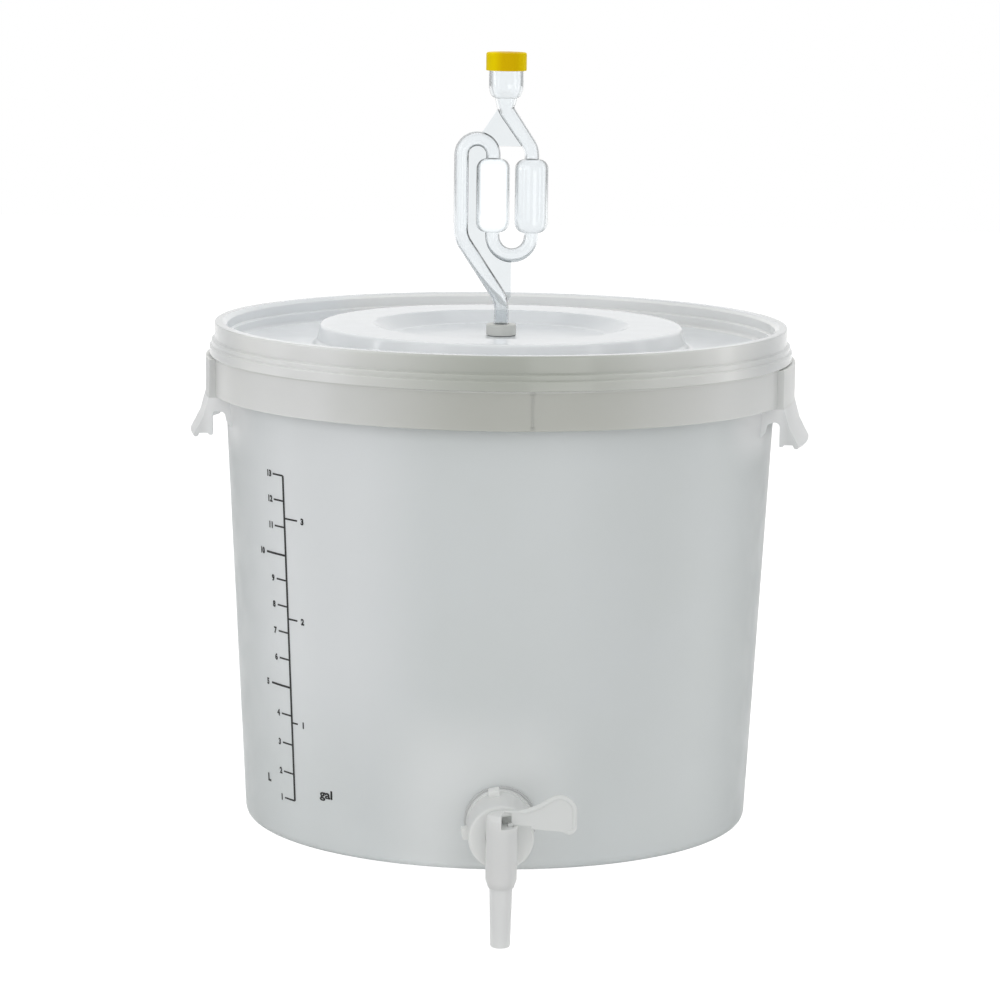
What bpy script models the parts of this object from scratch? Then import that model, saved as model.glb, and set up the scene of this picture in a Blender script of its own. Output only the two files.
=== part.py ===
"""Fermentation bucket with lid, airlock and tap.

Metres, +Z up. The origin is the centre of the flat base. The two grips lie on +X and -X,
and the tap is on the -Y side, a few degrees towards +X.
"""

import math

import bmesh
import bpy
from mathutils import Matrix, Vector

# Fits
GAP = 0.0003
CUT_OVERRUN = 0.004
MERGE = 0.00001
TURN_STEPS = 56
SMALL_STEPS = 24

# Bucket wall and base
BASE_RADIUS = 0.1422
WALL_SPREAD = 0.0132
NECK_FOOT_RADIUS = BASE_RADIUS + WALL_SPREAD
WALL = 0.0022
FLOOR = 0.0025
HEEL_RADIUS = 0.005
INNER_HEEL_RADIUS = 0.004

# Bucket skirt and neck
SKIRT_TOP = 0.2623
SKIRT_DROP = 0.0212
SKIRT_STANDOFF = 0.0066
SKIRT_RADIUS = NECK_FOOT_RADIUS + SKIRT_STANDOFF
SKIRT_WALL = 0.0018
SKIRT_EDGE = 0.0006
NECK_STEP_WIDTH = 0.0026
NECK_RADIUS = NECK_FOOT_RADIUS + NECK_STEP_WIDTH
NECK_STEP_RISE = 0.003
RIM_BEVEL = 0.0008
RIB_COUNT = 24
RIB_THICKNESS = 0.0014
RIB_FOOT_CLEARANCE = 0.003

# Grips at the two sides of the skirt
GRIP_STANDOFF = 0.0034
GRIP_RADIUS = SKIRT_RADIUS + GRIP_STANDOFF
GRIP_HALF_WIDTH = 0.047
GRIP_WALL = 0.002
GRIP_TOP_DROP = 0.0004
FLARE_START_DROP = 0.0206
FLARE_MIDDLE_DROP = 0.0325
FLARE_MIDDLE_REACH = 0.0033
GRIP_DROP = 0.0438
FLARE_REACH = 0.0084
LIP_RADIUS = 0.0013
CHEEK_THICKNESS = 0.002
CHEEK_INSET = 0.0002
CHEEK_FOOT_RISE = 0.0021
CHEEK_FOOT_WIDTH = 0.0092
CHEEK_NUB_HEIGHT = 0.001
CHEEK_NUB_WIDTH = 0.0022
ARCH_DEPTH = 0.0073
ARCH_FALL = 0.0017
ARCH_WIDTH = 0.0067
GUSSET_SIDE = 0.0046
GUSSET_LEAN = 0.0011
GUSSET_FOOT_DROP = 0.0192

# Lid
LID_RISE = 0.0184
LID_TOP = SKIRT_TOP + LID_RISE
LID_SHELL = 0.002
LID_OVERHANG = 0.0025
LID_RADIUS = NECK_RADIUS + LID_OVERHANG
LID_EDGE = 0.0009
LID_STEP_ONE_DROP = 0.0095
LID_STEP_ONE_WIDTH = 0.0017
LID_STEP_ONE_RADIUS = LID_RADIUS + LID_STEP_ONE_WIDTH
LID_STEP_TWO_DROP = 0.0128
LID_STEP_TWO_WIDTH = 0.0012
LID_BAND_RADIUS = LID_STEP_ONE_RADIUS + LID_STEP_TWO_WIDTH
LID_CREST_WIDTH = 0.0045
PLUG_LEDGE_DROP = 0.007
PLUG_LEDGE = 0.0013
LID_FLOOR_DROP = 0.0132
LID_FLOOR_FILLET = 0.002
PLATEAU_DROP = 0.0012
TROUGH_WIDTH = 0.06
PLATEAU_RADIUS = LID_RADIUS - TROUGH_WIDTH
PLATEAU_EDGE = 0.0018
PLATEAU_DRAFT = 0.0012
PLATEAU_FOOT_RISE = 0.0032
PLATEAU_FOOT_WIDTH = 0.0022
PLATEAU_WIDTH = 0.0285
RECESS_RADIUS = PLATEAU_RADIUS - PLATEAU_WIDTH
RECESS_SLOPE = 0.011
RECESS_EDGE = 0.0012
RECESS_DEPTH = 0.0065

# Grommet in the lid
GROMMET_HEAD_RADIUS = 0.0084
GROMMET_HEAD_HEIGHT = 0.0062
GROMMET_NECK_RADIUS = 0.0066
GROMMET_FOOT_RADIUS = 0.0082
GROMMET_FOOT_HEIGHT = 0.0026
GROMMET_EDGE = 0.0007

# Airlock, heights measured up from the floor of the lid recess
TUBE_RADIUS = 0.0041
TUBE_WALL = 0.0012
STEM_REACH = 0.011
STEM_BEND_RISE = 0.0198
LEG_OFFSET = 0.0234
LEG_BEND_RISE = 0.055
LOWER_BEND_RISE = 0.0559
LOWER_BEND_RADIUS = 0.01075
UPPER_BEND_RADIUS = 0.00895
BUBBLE_RADIUS = 0.0094
BUBBLE_WALL = 0.0011
BUBBLE_LENGTH = 0.0411
BUBBLE_SHOULDER = 0.0058
BEND_STRAIGHT = 0.002
SLANT_HEIGHT = 0.0275
NECK_LENGTH = 0.0064
CUP_OFFSET = 0.0011
CUP_RADIUS = 0.00975
CUP_WALL = 0.0012
CUP_FOOT_RADIUS = 0.0063
CUP_NECK_RADIUS = 0.0045
CUP_SHOULDER_HEIGHT = 0.0142
CUP_DEPTH = 0.0159
CUP_NECK_ROUND = 0.0025
DROP_TUBE_LENGTH = 0.0056
DROP_TUBE_ROUND = 0.0035
WEB_THICKNESS = 0.0014
WEB_TOP_RISE = 0.0026
WEB_TOP_INSET = 0.003
WEB_FOOT_RISE = 0.005
CORNER_ROUND = 0.005
TUBE_SIDES_RESOLUTION = 4
BEND_POINTS = 10
SHOULDER_POINTS = 3

# Airlock cap
CAP_HEIGHT = 0.0101
CAP_WALL = 0.00125
CAP_EDGE = 0.0009
VENT_RADIUS = 0.0008
VENT_CIRCLE_RADIUS = 0.0052
VENT_COUNT = 5

# Tap mounting, distances measured outwards from the bucket wall
TAP_BEARING = math.radians(4.5)
TAP_HEIGHT = 0.0283
HOLE_RADIUS = 0.0088
GASKET_THICKNESS = 0.0015
GASKET_RADIUS = 0.0194
SHANK_RADIUS = 0.0082
SHANK_INSIDE = 0.015
SHANK_BORE_RADIUS = 0.0055
SHANK_CHAMFER = 0.0008
INNER_GASKET_THICKNESS = 0.002
INNER_GASKET_RADIUS = 0.0145
NUT_RADIUS = 0.0135
NUT_THICKNESS = 0.0065
NUT_EDGE = 0.0008
NUT_SIDES = 6

# Bell-shaped collar between the barrel and the wall
COLLAR_DEPTH = 0.0308
COLLAR_BACK_RADIUS = 0.0181
COLLAR_FRONT_RADIUS = 0.0174
COLLAR_WALL = 0.0022
COLLAR_FACE = 0.0026
COLLAR_EDGE = 0.0008
HUB_WALL = 0.0022
LUG_COUNT = 4
LUG_TURN = math.radians(11.0)
LUG_WIDTH = 0.0062
LUG_LENGTH = 0.0072
LUG_HEIGHT = 0.0033
LUG_BACK = 0.0052
LUG_ROOT = 0.0012
LUG_EDGE = 0.0007

# Tap body
THROAT_RADIUS = 0.0035
BARREL_RADIUS = 0.0083
BARREL_WALL = 0.0018
BARREL_TOP = 0.0162
BARREL_CROWN = 0.003
BARREL_BOTTOM = 0.0238
BARREL_CHAMFER_HEIGHT = 0.0042
BARREL_CHAMFER_WIDTH = 0.0014
SLOT_BOTTOM = 0.0096
LEVER_TRAVEL = math.radians(70.0)
LEVER_PLAY = math.radians(2.0)

# Rotor and spout
ROTOR_BORE_RADIUS = 0.0042
ROTOR_BORE_TOP = 0.0048
ROTOR_EDGE = 0.0005
SPOUT_DROP = 0.0564
SPOUT_TIP_RADIUS = 0.0053
SPOUT_TIP_EDGE = 0.0008
SPOUT_RADIUS = 0.0061

# Lever
LEVER_FOOT_INSET = 0.0032
LEVER_FOOT_DEPTH = 0.0036
LEVER_FOOT_WIDTH = 0.003
LEVER_STEM_INSET = 0.005
LEVER_FINGER_INSET = 0.0012
LEVER_FINGER_RADIUS = 0.0007
PADDLE_REACH = 0.0382
PADDLE_RADIUS = 0.008
PADDLE_CENTRE_RISE = 0.0173
PADDLE_DEPTH = 0.0109
PADDLE_CORNER = 0.0032
PADDLE_THICKNESS = 0.0022
ARM_TOP = 0.0172
ARM_RISE_START = 0.0118
ARM_BEND_REACH = 0.014
ARM_BEND_RISE = 0.018
ARM_SWEEP_REACH = 0.02
ARM_SWEEP_RISE = 0.0203
ARM_STEP_REACH = 0.0159
ARM_STEP_DEPTH = 0.0021
BEAD_RADIUS = 0.0013


def clear_scene():
    """Remove every object that is in the file."""
    for item in list(bpy.data.objects):
        bpy.data.objects.remove(item, do_unlink=True)


def make_collection(name):
    group = bpy.data.collections.new(name)
    bpy.context.scene.collection.children.link(group)
    return group


clear_scene()
PARTS = make_collection("fermentation_bucket")
CUTTERS = make_collection("cutters")


def make_material(name, colour, roughness, transmission=0.0):
    """A Principled material with one colour."""
    material = bpy.data.materials.new(name)
    material.use_nodes = True
    shader = material.node_tree.nodes["Principled BSDF"]
    shader.inputs["Base Color"].default_value = (*colour, 1.0)
    shader.inputs["Roughness"].default_value = roughness
    shader.inputs["Metallic"].default_value = 0.0
    shader.inputs["Transmission Weight"].default_value = transmission
    return material


def add_part(name, mesh, material, parent=None):
    """Put a mesh in the model as a named piece."""
    part = bpy.data.objects.new(name, mesh)
    PARTS.objects.link(part)
    mesh.materials.append(material)
    part.parent = parent
    return part


def add_cutter(name, mesh, parent=None):
    """Put a mesh among the cutters, which are only there to shape the pieces."""
    cutter = bpy.data.objects.new(name, mesh)
    CUTTERS.objects.link(cutter)
    cutter.parent = parent
    cutter.hide_render = True
    cutter.display_type = "WIRE"
    return cutter


def smooth(part, angle=math.radians(35.0)):
    part.data.shade_smooth()
    part.data.set_sharp_from_angle(angle=angle)


def combine(target, other, operation, label):
    """Add an exact Boolean of another object to the target."""
    step = target.modifiers.new(label, "BOOLEAN")
    step.object = other
    step.operation = operation
    step.solver = "EXACT"
    return step


def profile_mesh(name, points, closed):
    """An edge chain in the XZ plane, given as (radius, height) pairs."""
    mesh = bpy.data.meshes.new(name)
    shape = bmesh.new()
    chain = [shape.verts.new((radius, 0.0, height)) for radius, height in points]
    links = list(zip(chain, chain[1:]))
    if closed:
        links.append((chain[-1], chain[0]))
    for first, second in links:
        shape.edges.new((first, second))
    shape.to_mesh(mesh)
    shape.free()
    return mesh


def turn(part, steps):
    """Turn a profile about Z. The profile runs down its outer side."""
    screw = part.modifiers.new("turn", "SCREW")
    screw.axis = "Z"
    screw.angle = math.tau
    screw.steps = steps
    screw.render_steps = steps
    screw.screw_offset = 0.0
    screw.use_merge_vertices = True
    screw.merge_threshold = MERGE
    screw.use_smooth_shade = True
    return part


def turned_part(name, points, material, steps=SMALL_STEPS, closed=True, parent=None):
    part = add_part(name, profile_mesh(name, points, closed), material, parent)
    return turn(part, steps)


def turned_cutter(name, points, steps=SMALL_STEPS, closed=True, parent=None):
    cutter = add_cutter(name, profile_mesh(name, points, closed), parent)
    return turn(cutter, steps)


def cylinder_mesh(name, radius, length, steps=SMALL_STEPS, top_radius=None):
    """A cylinder or cone standing on its base centre."""
    mesh = bpy.data.meshes.new(name)
    shape = bmesh.new()
    upper = radius if top_radius is None else top_radius
    bmesh.ops.create_cone(
        shape, cap_ends=True, segments=steps, radius1=radius, radius2=upper, depth=length
    )
    bmesh.ops.translate(shape, verts=shape.verts, vec=(0.0, 0.0, length / 2))
    shape.to_mesh(mesh)
    shape.free()
    return mesh


def add_box(shape, size, centre, turn_matrix=None):
    """Add a box of a given size to a bmesh, turned about the origin afterwards."""
    verts = bmesh.ops.create_cube(shape, size=1.0)["verts"]
    bmesh.ops.scale(shape, verts=verts, vec=size)
    bmesh.ops.translate(shape, verts=verts, vec=centre)
    if turn_matrix is not None:
        bmesh.ops.transform(shape, verts=verts, matrix=turn_matrix)
    return verts


def arc(centre, radius, start, end, count):
    """Points on an arc, angles in degrees, both ends included."""
    points = []
    for index in range(count + 1):
        angle = math.radians(start + (end - start) * index / count)
        points.append((centre[0] + radius * math.cos(angle), centre[1] + radius * math.sin(angle)))
    return points


def plate_mesh(name, outline, thickness):
    """A flat plate in the XZ plane with an outline of (x, z) points, centred on y = 0."""
    curve = bpy.data.curves.new(name, "CURVE")
    curve.dimensions = "2D"
    curve.fill_mode = "BOTH"
    curve.extrude = thickness / 2
    spline = curve.splines.new("POLY")
    spline.points.add(len(outline[1:]))
    for point, (x, z) in zip(spline.points, outline):
        point.co = (x, z, 0.0, 1.0)
    spline.use_cyclic_u = True
    mesh = mesh_from_curve(name, curve)
    mesh.transform(Matrix.Rotation(math.radians(90.0), 4, "X"))
    return mesh


def tube_mesh(name, path, radius, resolution):
    """A round tube along (x, z, radius) points in the XZ plane, closed at both ends."""
    curve = bpy.data.curves.new(name, "CURVE")
    curve.dimensions = "3D"
    curve.bevel_depth = radius
    curve.bevel_resolution = resolution
    curve.use_fill_caps = True
    spline = curve.splines.new("POLY")
    spline.points.add(len(path[1:]))
    for point, (x, z, local_radius) in zip(spline.points, path):
        point.co = (x, 0.0, z, 1.0)
        point.radius = local_radius / radius
    return mesh_from_curve(name, curve)


def mesh_from_curve(name, curve):
    """Turn a curve into a closed mesh and drop the curve."""
    holder = bpy.data.objects.new(name + "_curve", curve)
    CUTTERS.objects.link(holder)
    bpy.context.view_layer.update()
    graph = bpy.context.evaluated_depsgraph_get()
    mesh = bpy.data.meshes.new_from_object(holder.evaluated_get(graph))
    mesh.transform(holder.matrix_world)
    bpy.data.objects.remove(holder, do_unlink=True)
    shape = bmesh.new()
    shape.from_mesh(mesh)
    bmesh.ops.remove_doubles(shape, verts=shape.verts, dist=MERGE)
    bmesh.ops.recalc_face_normals(shape, faces=shape.faces)
    shape.to_mesh(mesh)
    shape.free()
    mesh.name = name
    return mesh


# Materials
BUCKET_PLASTIC = make_material("bucket_plastic", (0.80, 0.82, 0.81), 0.38)
LID_PLASTIC = make_material("lid_plastic", (0.83, 0.84, 0.83), 0.30)
GROMMET_RUBBER = make_material("grommet_rubber", (0.62, 0.63, 0.60), 0.60)
CLEAR_PLASTIC = make_material("clear_plastic", (0.95, 0.97, 0.98), 0.05, 0.9)
YELLOW_PLASTIC = make_material("yellow_plastic", (0.98, 0.78, 0.10), 0.40)
TAP_PLASTIC = make_material("tap_plastic", (0.86, 0.86, 0.84), 0.38)
SEAL_RUBBER = make_material("seal_rubber", (0.25, 0.25, 0.25), 0.70)


def wall_radius(height):
    """Outer radius of the tapered wall."""
    share = (height - HEEL_RADIUS) / (SKIRT_TOP - HEEL_RADIUS)
    return BASE_RADIUS + (NECK_FOOT_RADIUS - BASE_RADIUS) * share


WALL_DRAFT = math.atan((NECK_FOOT_RADIUS - BASE_RADIUS) / (SKIRT_TOP - HEEL_RADIUS))
RIM_TOP = LID_TOP - LID_SHELL - GAP
SKIRT_BOTTOM = SKIRT_TOP - SKIRT_DROP
LEDGE_UNDERSIDE = SKIRT_TOP - SKIRT_WALL
NECK_FOOT = SKIRT_TOP + NECK_STEP_RISE
NECK_BORE_RADIUS = NECK_RADIUS - WALL


def bucket_profile():
    """From the middle of the inner floor, over the rim and down to the middle of the base."""
    inner_foot = BASE_RADIUS - WALL
    points = [(0.0, FLOOR)]
    points += arc(
        (inner_foot - INNER_HEEL_RADIUS, FLOOR + INNER_HEEL_RADIUS), INNER_HEEL_RADIUS, -90.0, 0.0, 3
    )
    points += [
        (wall_radius(LEDGE_UNDERSIDE) - WALL, LEDGE_UNDERSIDE),
        (NECK_BORE_RADIUS, NECK_FOOT),
        (NECK_BORE_RADIUS, RIM_TOP),
        (NECK_RADIUS - RIM_BEVEL, RIM_TOP),
        (NECK_RADIUS, RIM_TOP - RIM_BEVEL),
        (NECK_RADIUS, SKIRT_TOP),
        (SKIRT_RADIUS - SKIRT_EDGE, SKIRT_TOP),
        (SKIRT_RADIUS, SKIRT_TOP - SKIRT_EDGE),
        (SKIRT_RADIUS, SKIRT_BOTTOM),
        (SKIRT_RADIUS - SKIRT_WALL, SKIRT_BOTTOM),
        (SKIRT_RADIUS - SKIRT_WALL, LEDGE_UNDERSIDE),
        (wall_radius(LEDGE_UNDERSIDE), LEDGE_UNDERSIDE),
    ]
    points += arc((BASE_RADIUS - HEEL_RADIUS, HEEL_RADIUS), HEEL_RADIUS, 0.0, -90.0, 4)
    points.append((0.0, 0.0))
    return points


def skirt_ribs():
    """Upright ribs between the wall and the skirt, as one mesh of separate bars."""
    mesh = bpy.data.meshes.new("skirt_ribs")
    shape = bmesh.new()
    foot = SKIRT_BOTTOM + RIB_FOOT_CLEARANCE
    head = LEDGE_UNDERSIDE + SKIRT_WALL / 2
    inner = wall_radius(foot) - WALL / 2
    outer = SKIRT_RADIUS - SKIRT_WALL / 2
    size = (outer - inner, RIB_THICKNESS, head - foot)
    centre = ((outer + inner) / 2, 0.0, (head + foot) / 2)
    for index in range(RIB_COUNT):
        angle = math.tau * (index + 0.5) / RIB_COUNT
        add_box(shape, size, centre, Matrix.Rotation(angle, 4, "Z"))
    shape.to_mesh(mesh)
    shape.free()
    return add_cutter("skirt_ribs", mesh)


def grip_ring():
    """Both grip flaps: a full ring, cut down to the width of a grip on each side."""
    top = SKIRT_TOP - GRIP_TOP_DROP
    flare_start = SKIRT_TOP - FLARE_START_DROP
    flare_middle = SKIRT_TOP - FLARE_MIDDLE_DROP
    middle_radius = GRIP_RADIUS + FLARE_MIDDLE_REACH
    bottom = SKIRT_TOP - GRIP_DROP
    tip_radius = GRIP_RADIUS + FLARE_REACH
    inside = GRIP_RADIUS - GRIP_WALL
    points = [
        (SKIRT_RADIUS - SKIRT_WALL / 2, top),
        (GRIP_RADIUS - SKIRT_EDGE, top),
        (GRIP_RADIUS, top - SKIRT_EDGE),
        (GRIP_RADIUS, flare_start),
        (middle_radius, flare_middle),
    ]
    points += arc((tip_radius - LIP_RADIUS, bottom + LIP_RADIUS), LIP_RADIUS, 10.0, -155.0, 4)
    points += [
        (middle_radius - GRIP_WALL, flare_middle - SKIRT_EDGE),
        (inside, flare_start - SKIRT_EDGE),
        (inside, top - GRIP_WALL),
        (SKIRT_RADIUS - SKIRT_WALL / 2, top - GRIP_WALL),
    ]
    ring = turned_cutter("grip_ring", points, TURN_STEPS)
    mesh = bpy.data.meshes.new("grip_width")
    shape = bmesh.new()
    size = (2 * (tip_radius + CUT_OVERRUN), 2 * GRIP_HALF_WIDTH, SKIRT_TOP)
    add_box(shape, size, (0.0, 0.0, SKIRT_TOP / 2 + CUT_OVERRUN))
    shape.to_mesh(mesh)
    shape.free()
    width = add_cutter("grip_width", mesh)
    combine(ring, width, "INTERSECT", "grip width")
    return ring


def grip_cheeks():
    """The four end plates of the grips, each with an arch over the finger gap."""
    middle = GRIP_HALF_WIDTH - CHEEK_INSET - CHEEK_THICKNESS / 2

    def reach(radius):
        return math.sqrt(radius ** 2 - GRIP_HALF_WIDTH ** 2)

    top = SKIRT_TOP - GRIP_TOP_DROP - GRIP_WALL / 2
    foot = SKIRT_TOP - GRIP_DROP + CHEEK_FOOT_RISE
    arch_top = SKIRT_BOTTOM - ARCH_DEPTH
    tip = reach(GRIP_RADIUS + FLARE_REACH - LIP_RADIUS)
    plate = reach(GRIP_RADIUS - GRIP_WALL / 2)
    middle_plate = reach(GRIP_RADIUS + FLARE_MIDDLE_REACH - GRIP_WALL / 2)
    leg_inside = tip - CHEEK_FOOT_WIDTH
    gusset = leg_inside - ARCH_WIDTH
    gusset_foot = SKIRT_BOTTOM - GUSSET_FOOT_DROP
    root = reach(wall_radius(gusset_foot)) - WALL / 2
    outline = [
        (root, top),
        (plate, top),
        (plate, SKIRT_TOP - FLARE_START_DROP),
        (middle_plate, SKIRT_TOP - FLARE_MIDDLE_DROP),
        (tip, foot + CHEEK_NUB_HEIGHT),
        (tip, foot),
        (leg_inside + CHEEK_NUB_WIDTH, foot),
        (leg_inside + CHEEK_NUB_WIDTH, foot - CHEEK_NUB_HEIGHT),
        (leg_inside, foot - CHEEK_NUB_HEIGHT),
        (leg_inside, arch_top - LIP_RADIUS),
        (leg_inside - LIP_RADIUS, arch_top),
        (gusset, arch_top - ARCH_FALL),
        (gusset - GUSSET_LEAN, arch_top - ARCH_FALL - GUSSET_SIDE),
        (root, gusset_foot),
    ]
    flat = plate_mesh("grip_cheek", outline, CHEEK_THICKNESS)
    shape = bmesh.new()
    for side in (1.0, -1.0):
        for end in (1.0, -1.0):
            copy = flat.copy()
            copy.transform(Matrix.Translation((0.0, end * middle, 0.0)))
            if side < 0:
                copy.transform(Matrix.Rotation(math.pi, 4, "Z"))
            shape.from_mesh(copy)
            bpy.data.meshes.remove(copy)
    mesh = bpy.data.meshes.new("grip_cheeks")
    shape.to_mesh(mesh)
    shape.free()
    return add_cutter("grip_cheeks", mesh)


def tap_frame():
    """The seat of the tap: on the wall, square to it, with -Y pointing outwards."""
    radius = wall_radius(TAP_HEIGHT)
    seat = bpy.data.objects.new("tap_frame", None)
    PARTS.objects.link(seat)
    seat.location = (radius * math.sin(TAP_BEARING), -radius * math.cos(TAP_BEARING), TAP_HEIGHT)
    seat.rotation_euler = (WALL_DRAFT, 0.0, TAP_BEARING)
    return seat


TAP_SEAT = tap_frame()


def face_outwards(item, distance=0.0):
    """Turn a piece made along +Z so that it points out of the wall."""
    item.rotation_euler = (math.radians(90.0), 0.0, 0.0)
    item.location = (0.0, -distance, 0.0)
    return item


def build_bucket():
    bucket = turned_part("bucket", bucket_profile(), BUCKET_PLASTIC, TURN_STEPS, closed=False)
    combine(bucket, grip_ring(), "UNION", "grips")
    combine(bucket, grip_cheeks(), "UNION", "grip cheeks")
    combine(bucket, skirt_ribs(), "UNION", "skirt ribs")
    hole_length = WALL + 2 * CUT_OVERRUN
    hole = add_cutter("tap_hole", cylinder_mesh("tap_hole", HOLE_RADIUS, hole_length), TAP_SEAT)
    face_outwards(hole, -(WALL + CUT_OVERRUN))
    combine(bucket, hole, "DIFFERENCE", "tap hole")
    return bucket


LID_FLOOR = LID_TOP - LID_FLOOR_DROP
PLATEAU_TOP = LID_TOP - PLATEAU_DROP
RECESS_FLOOR = PLATEAU_TOP - RECESS_DEPTH
LID_HOLE_RADIUS = GROMMET_NECK_RADIUS + GAP


def lid_profile():
    """The section of the lid, from the crest down its outside and back under it to the hole."""
    skirt_foot = SKIRT_TOP + GAP
    plug_radius = NECK_BORE_RADIUS - GAP
    plug_inside = plug_radius - LID_SHELL
    crest_inside = LID_RADIUS - LID_CREST_WIDTH
    band_inside = LID_BAND_RADIUS - LID_SHELL
    wall_inside = LID_RADIUS - LID_SHELL + SKIRT_EDGE / 4
    step_one = LID_TOP - LID_STEP_ONE_DROP
    step_two = LID_TOP - LID_STEP_TWO_DROP
    roof = LID_TOP - LID_SHELL
    plateau_roof = PLATEAU_TOP - LID_SHELL
    recess_foot = RECESS_RADIUS - RECESS_SLOPE
    plateau_foot = PLATEAU_RADIUS + PLATEAU_EDGE + PLATEAU_DRAFT
    outside = [
        (crest_inside, LID_TOP),
        (LID_RADIUS - LID_EDGE, LID_TOP),
        (LID_RADIUS, LID_TOP - LID_EDGE),
        (LID_RADIUS, step_one),
        (LID_STEP_ONE_RADIUS, step_one - SKIRT_EDGE),
        (LID_STEP_ONE_RADIUS, step_two),
        (LID_BAND_RADIUS, step_two - SKIRT_EDGE),
        (LID_BAND_RADIUS, skirt_foot),
    ]
    underside = [
        (band_inside, skirt_foot),
        (band_inside, step_two - LID_SHELL),
        (wall_inside, step_one - LID_SHELL),
        (wall_inside, roof),
        (plug_radius, roof),
        (plug_radius, LID_FLOOR - LID_SHELL),
        (plateau_foot + PLATEAU_FOOT_WIDTH - LID_SHELL / 2, LID_FLOOR - LID_SHELL),
        (plateau_foot - LID_SHELL, LID_FLOOR + PLATEAU_FOOT_RISE - LID_SHELL),
        (PLATEAU_RADIUS - LID_SHELL / 2, plateau_roof),
        (RECESS_RADIUS + LID_SHELL / 2, plateau_roof),
        (recess_foot + LID_SHELL / 2, RECESS_FLOOR - LID_SHELL),
        (LID_HOLE_RADIUS, RECESS_FLOOR - LID_SHELL),
    ]
    top = [
        (LID_HOLE_RADIUS, RECESS_FLOOR),
        (recess_foot, RECESS_FLOOR),
        (RECESS_RADIUS - RECESS_EDGE, PLATEAU_TOP - RECESS_EDGE / 2),
        (RECESS_RADIUS + RECESS_EDGE, PLATEAU_TOP),
        (PLATEAU_RADIUS - PLATEAU_EDGE, PLATEAU_TOP),
        (PLATEAU_RADIUS + PLATEAU_EDGE / 2, PLATEAU_TOP - PLATEAU_EDGE / 2),
        (PLATEAU_RADIUS + PLATEAU_EDGE, PLATEAU_TOP - PLATEAU_EDGE),
        (plateau_foot, LID_FLOOR + PLATEAU_FOOT_RISE),
        (plateau_foot + PLATEAU_FOOT_WIDTH, LID_FLOOR),
        (plug_inside - PLUG_LEDGE - LID_FLOOR_FILLET, LID_FLOOR),
        (plug_inside - PLUG_LEDGE, LID_FLOOR + LID_FLOOR_FILLET),
        (plug_inside - PLUG_LEDGE, LID_TOP - PLUG_LEDGE_DROP - PLUG_LEDGE / 2),
        (plug_inside, LID_TOP - PLUG_LEDGE_DROP),
        (plug_inside, roof - LID_EDGE),
    ]
    return outside + underside + top


def build_lid():
    return turned_part("lid", lid_profile(), LID_PLASTIC, TURN_STEPS)


def build_grommet():
    bore = TUBE_RADIUS + GAP
    head_foot = RECESS_FLOOR + GAP
    head_top = head_foot + GROMMET_HEAD_HEIGHT
    foot_top = RECESS_FLOOR - LID_SHELL - GAP
    foot_bottom = foot_top - GROMMET_FOOT_HEIGHT
    points = [
        (bore, head_top),
        (GROMMET_HEAD_RADIUS - GROMMET_EDGE, head_top),
        (GROMMET_HEAD_RADIUS, head_top - GROMMET_EDGE),
        (GROMMET_HEAD_RADIUS, head_foot),
        (GROMMET_NECK_RADIUS, head_foot),
        (GROMMET_NECK_RADIUS, foot_top),
        (GROMMET_FOOT_RADIUS, foot_top),
        (GROMMET_FOOT_RADIUS - GROMMET_EDGE, foot_bottom),
        (bore, foot_bottom),
    ]
    return turned_part("lid_grommet", points, GROMMET_RUBBER)


# Places along the airlock
LEG_X = -LEG_OFFSET
LEFT_BUBBLE_X = LEG_X + 2 * UPPER_BEND_RADIUS
RIGHT_BUBBLE_X = LEFT_BUBBLE_X + 2 * LOWER_BEND_RADIUS
STEM_BOTTOM = RECESS_FLOOR - STEM_REACH
STEM_BEND = RECESS_FLOOR + STEM_BEND_RISE
LEG_BEND = RECESS_FLOOR + LEG_BEND_RISE
LOWER_BEND = RECESS_FLOOR + LOWER_BEND_RISE
BUBBLE_BOTTOM = LOWER_BEND + BEND_STRAIGHT
BUBBLE_TOP = BUBBLE_BOTTOM + BUBBLE_LENGTH
UPPER_BEND = BUBBLE_TOP + BEND_STRAIGHT
CUP_NECK = BUBBLE_TOP + SLANT_HEIGHT
CUP_FOOT = CUP_NECK + NECK_LENGTH
CUP_SIDE = CUP_NECK + CUP_SHOULDER_HEIGHT
CUP_RIM = CUP_SIDE + CUP_DEPTH


def rounded_corner(before, corner, after, distance, count):
    """Points that round one corner of a path with a smooth curve."""
    start = corner + (before - corner).normalized() * distance
    end = corner + (after - corner).normalized() * distance
    points = []
    for index in range(count + 1):
        share = index / count
        points.append(start.lerp(corner, share).lerp(corner.lerp(end, share), share))
    return points


def bubble_points(x, upwards, tube, bubble):
    """The path through one bubble, with round shoulders at both ends."""
    points = []
    for index in range(SHOULDER_POINTS + 1):
        angle = math.radians(90.0 * index / SHOULDER_POINTS)
        height = BUBBLE_BOTTOM + BUBBLE_SHOULDER * (1 - math.cos(angle))
        points.append((x, height, tube + (bubble - tube) * math.sin(angle)))
    upper = [(x, BUBBLE_BOTTOM + BUBBLE_TOP - height, radius) for x, height, radius in points]
    points += upper[::-1]
    return points if upwards else points[::-1]


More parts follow.
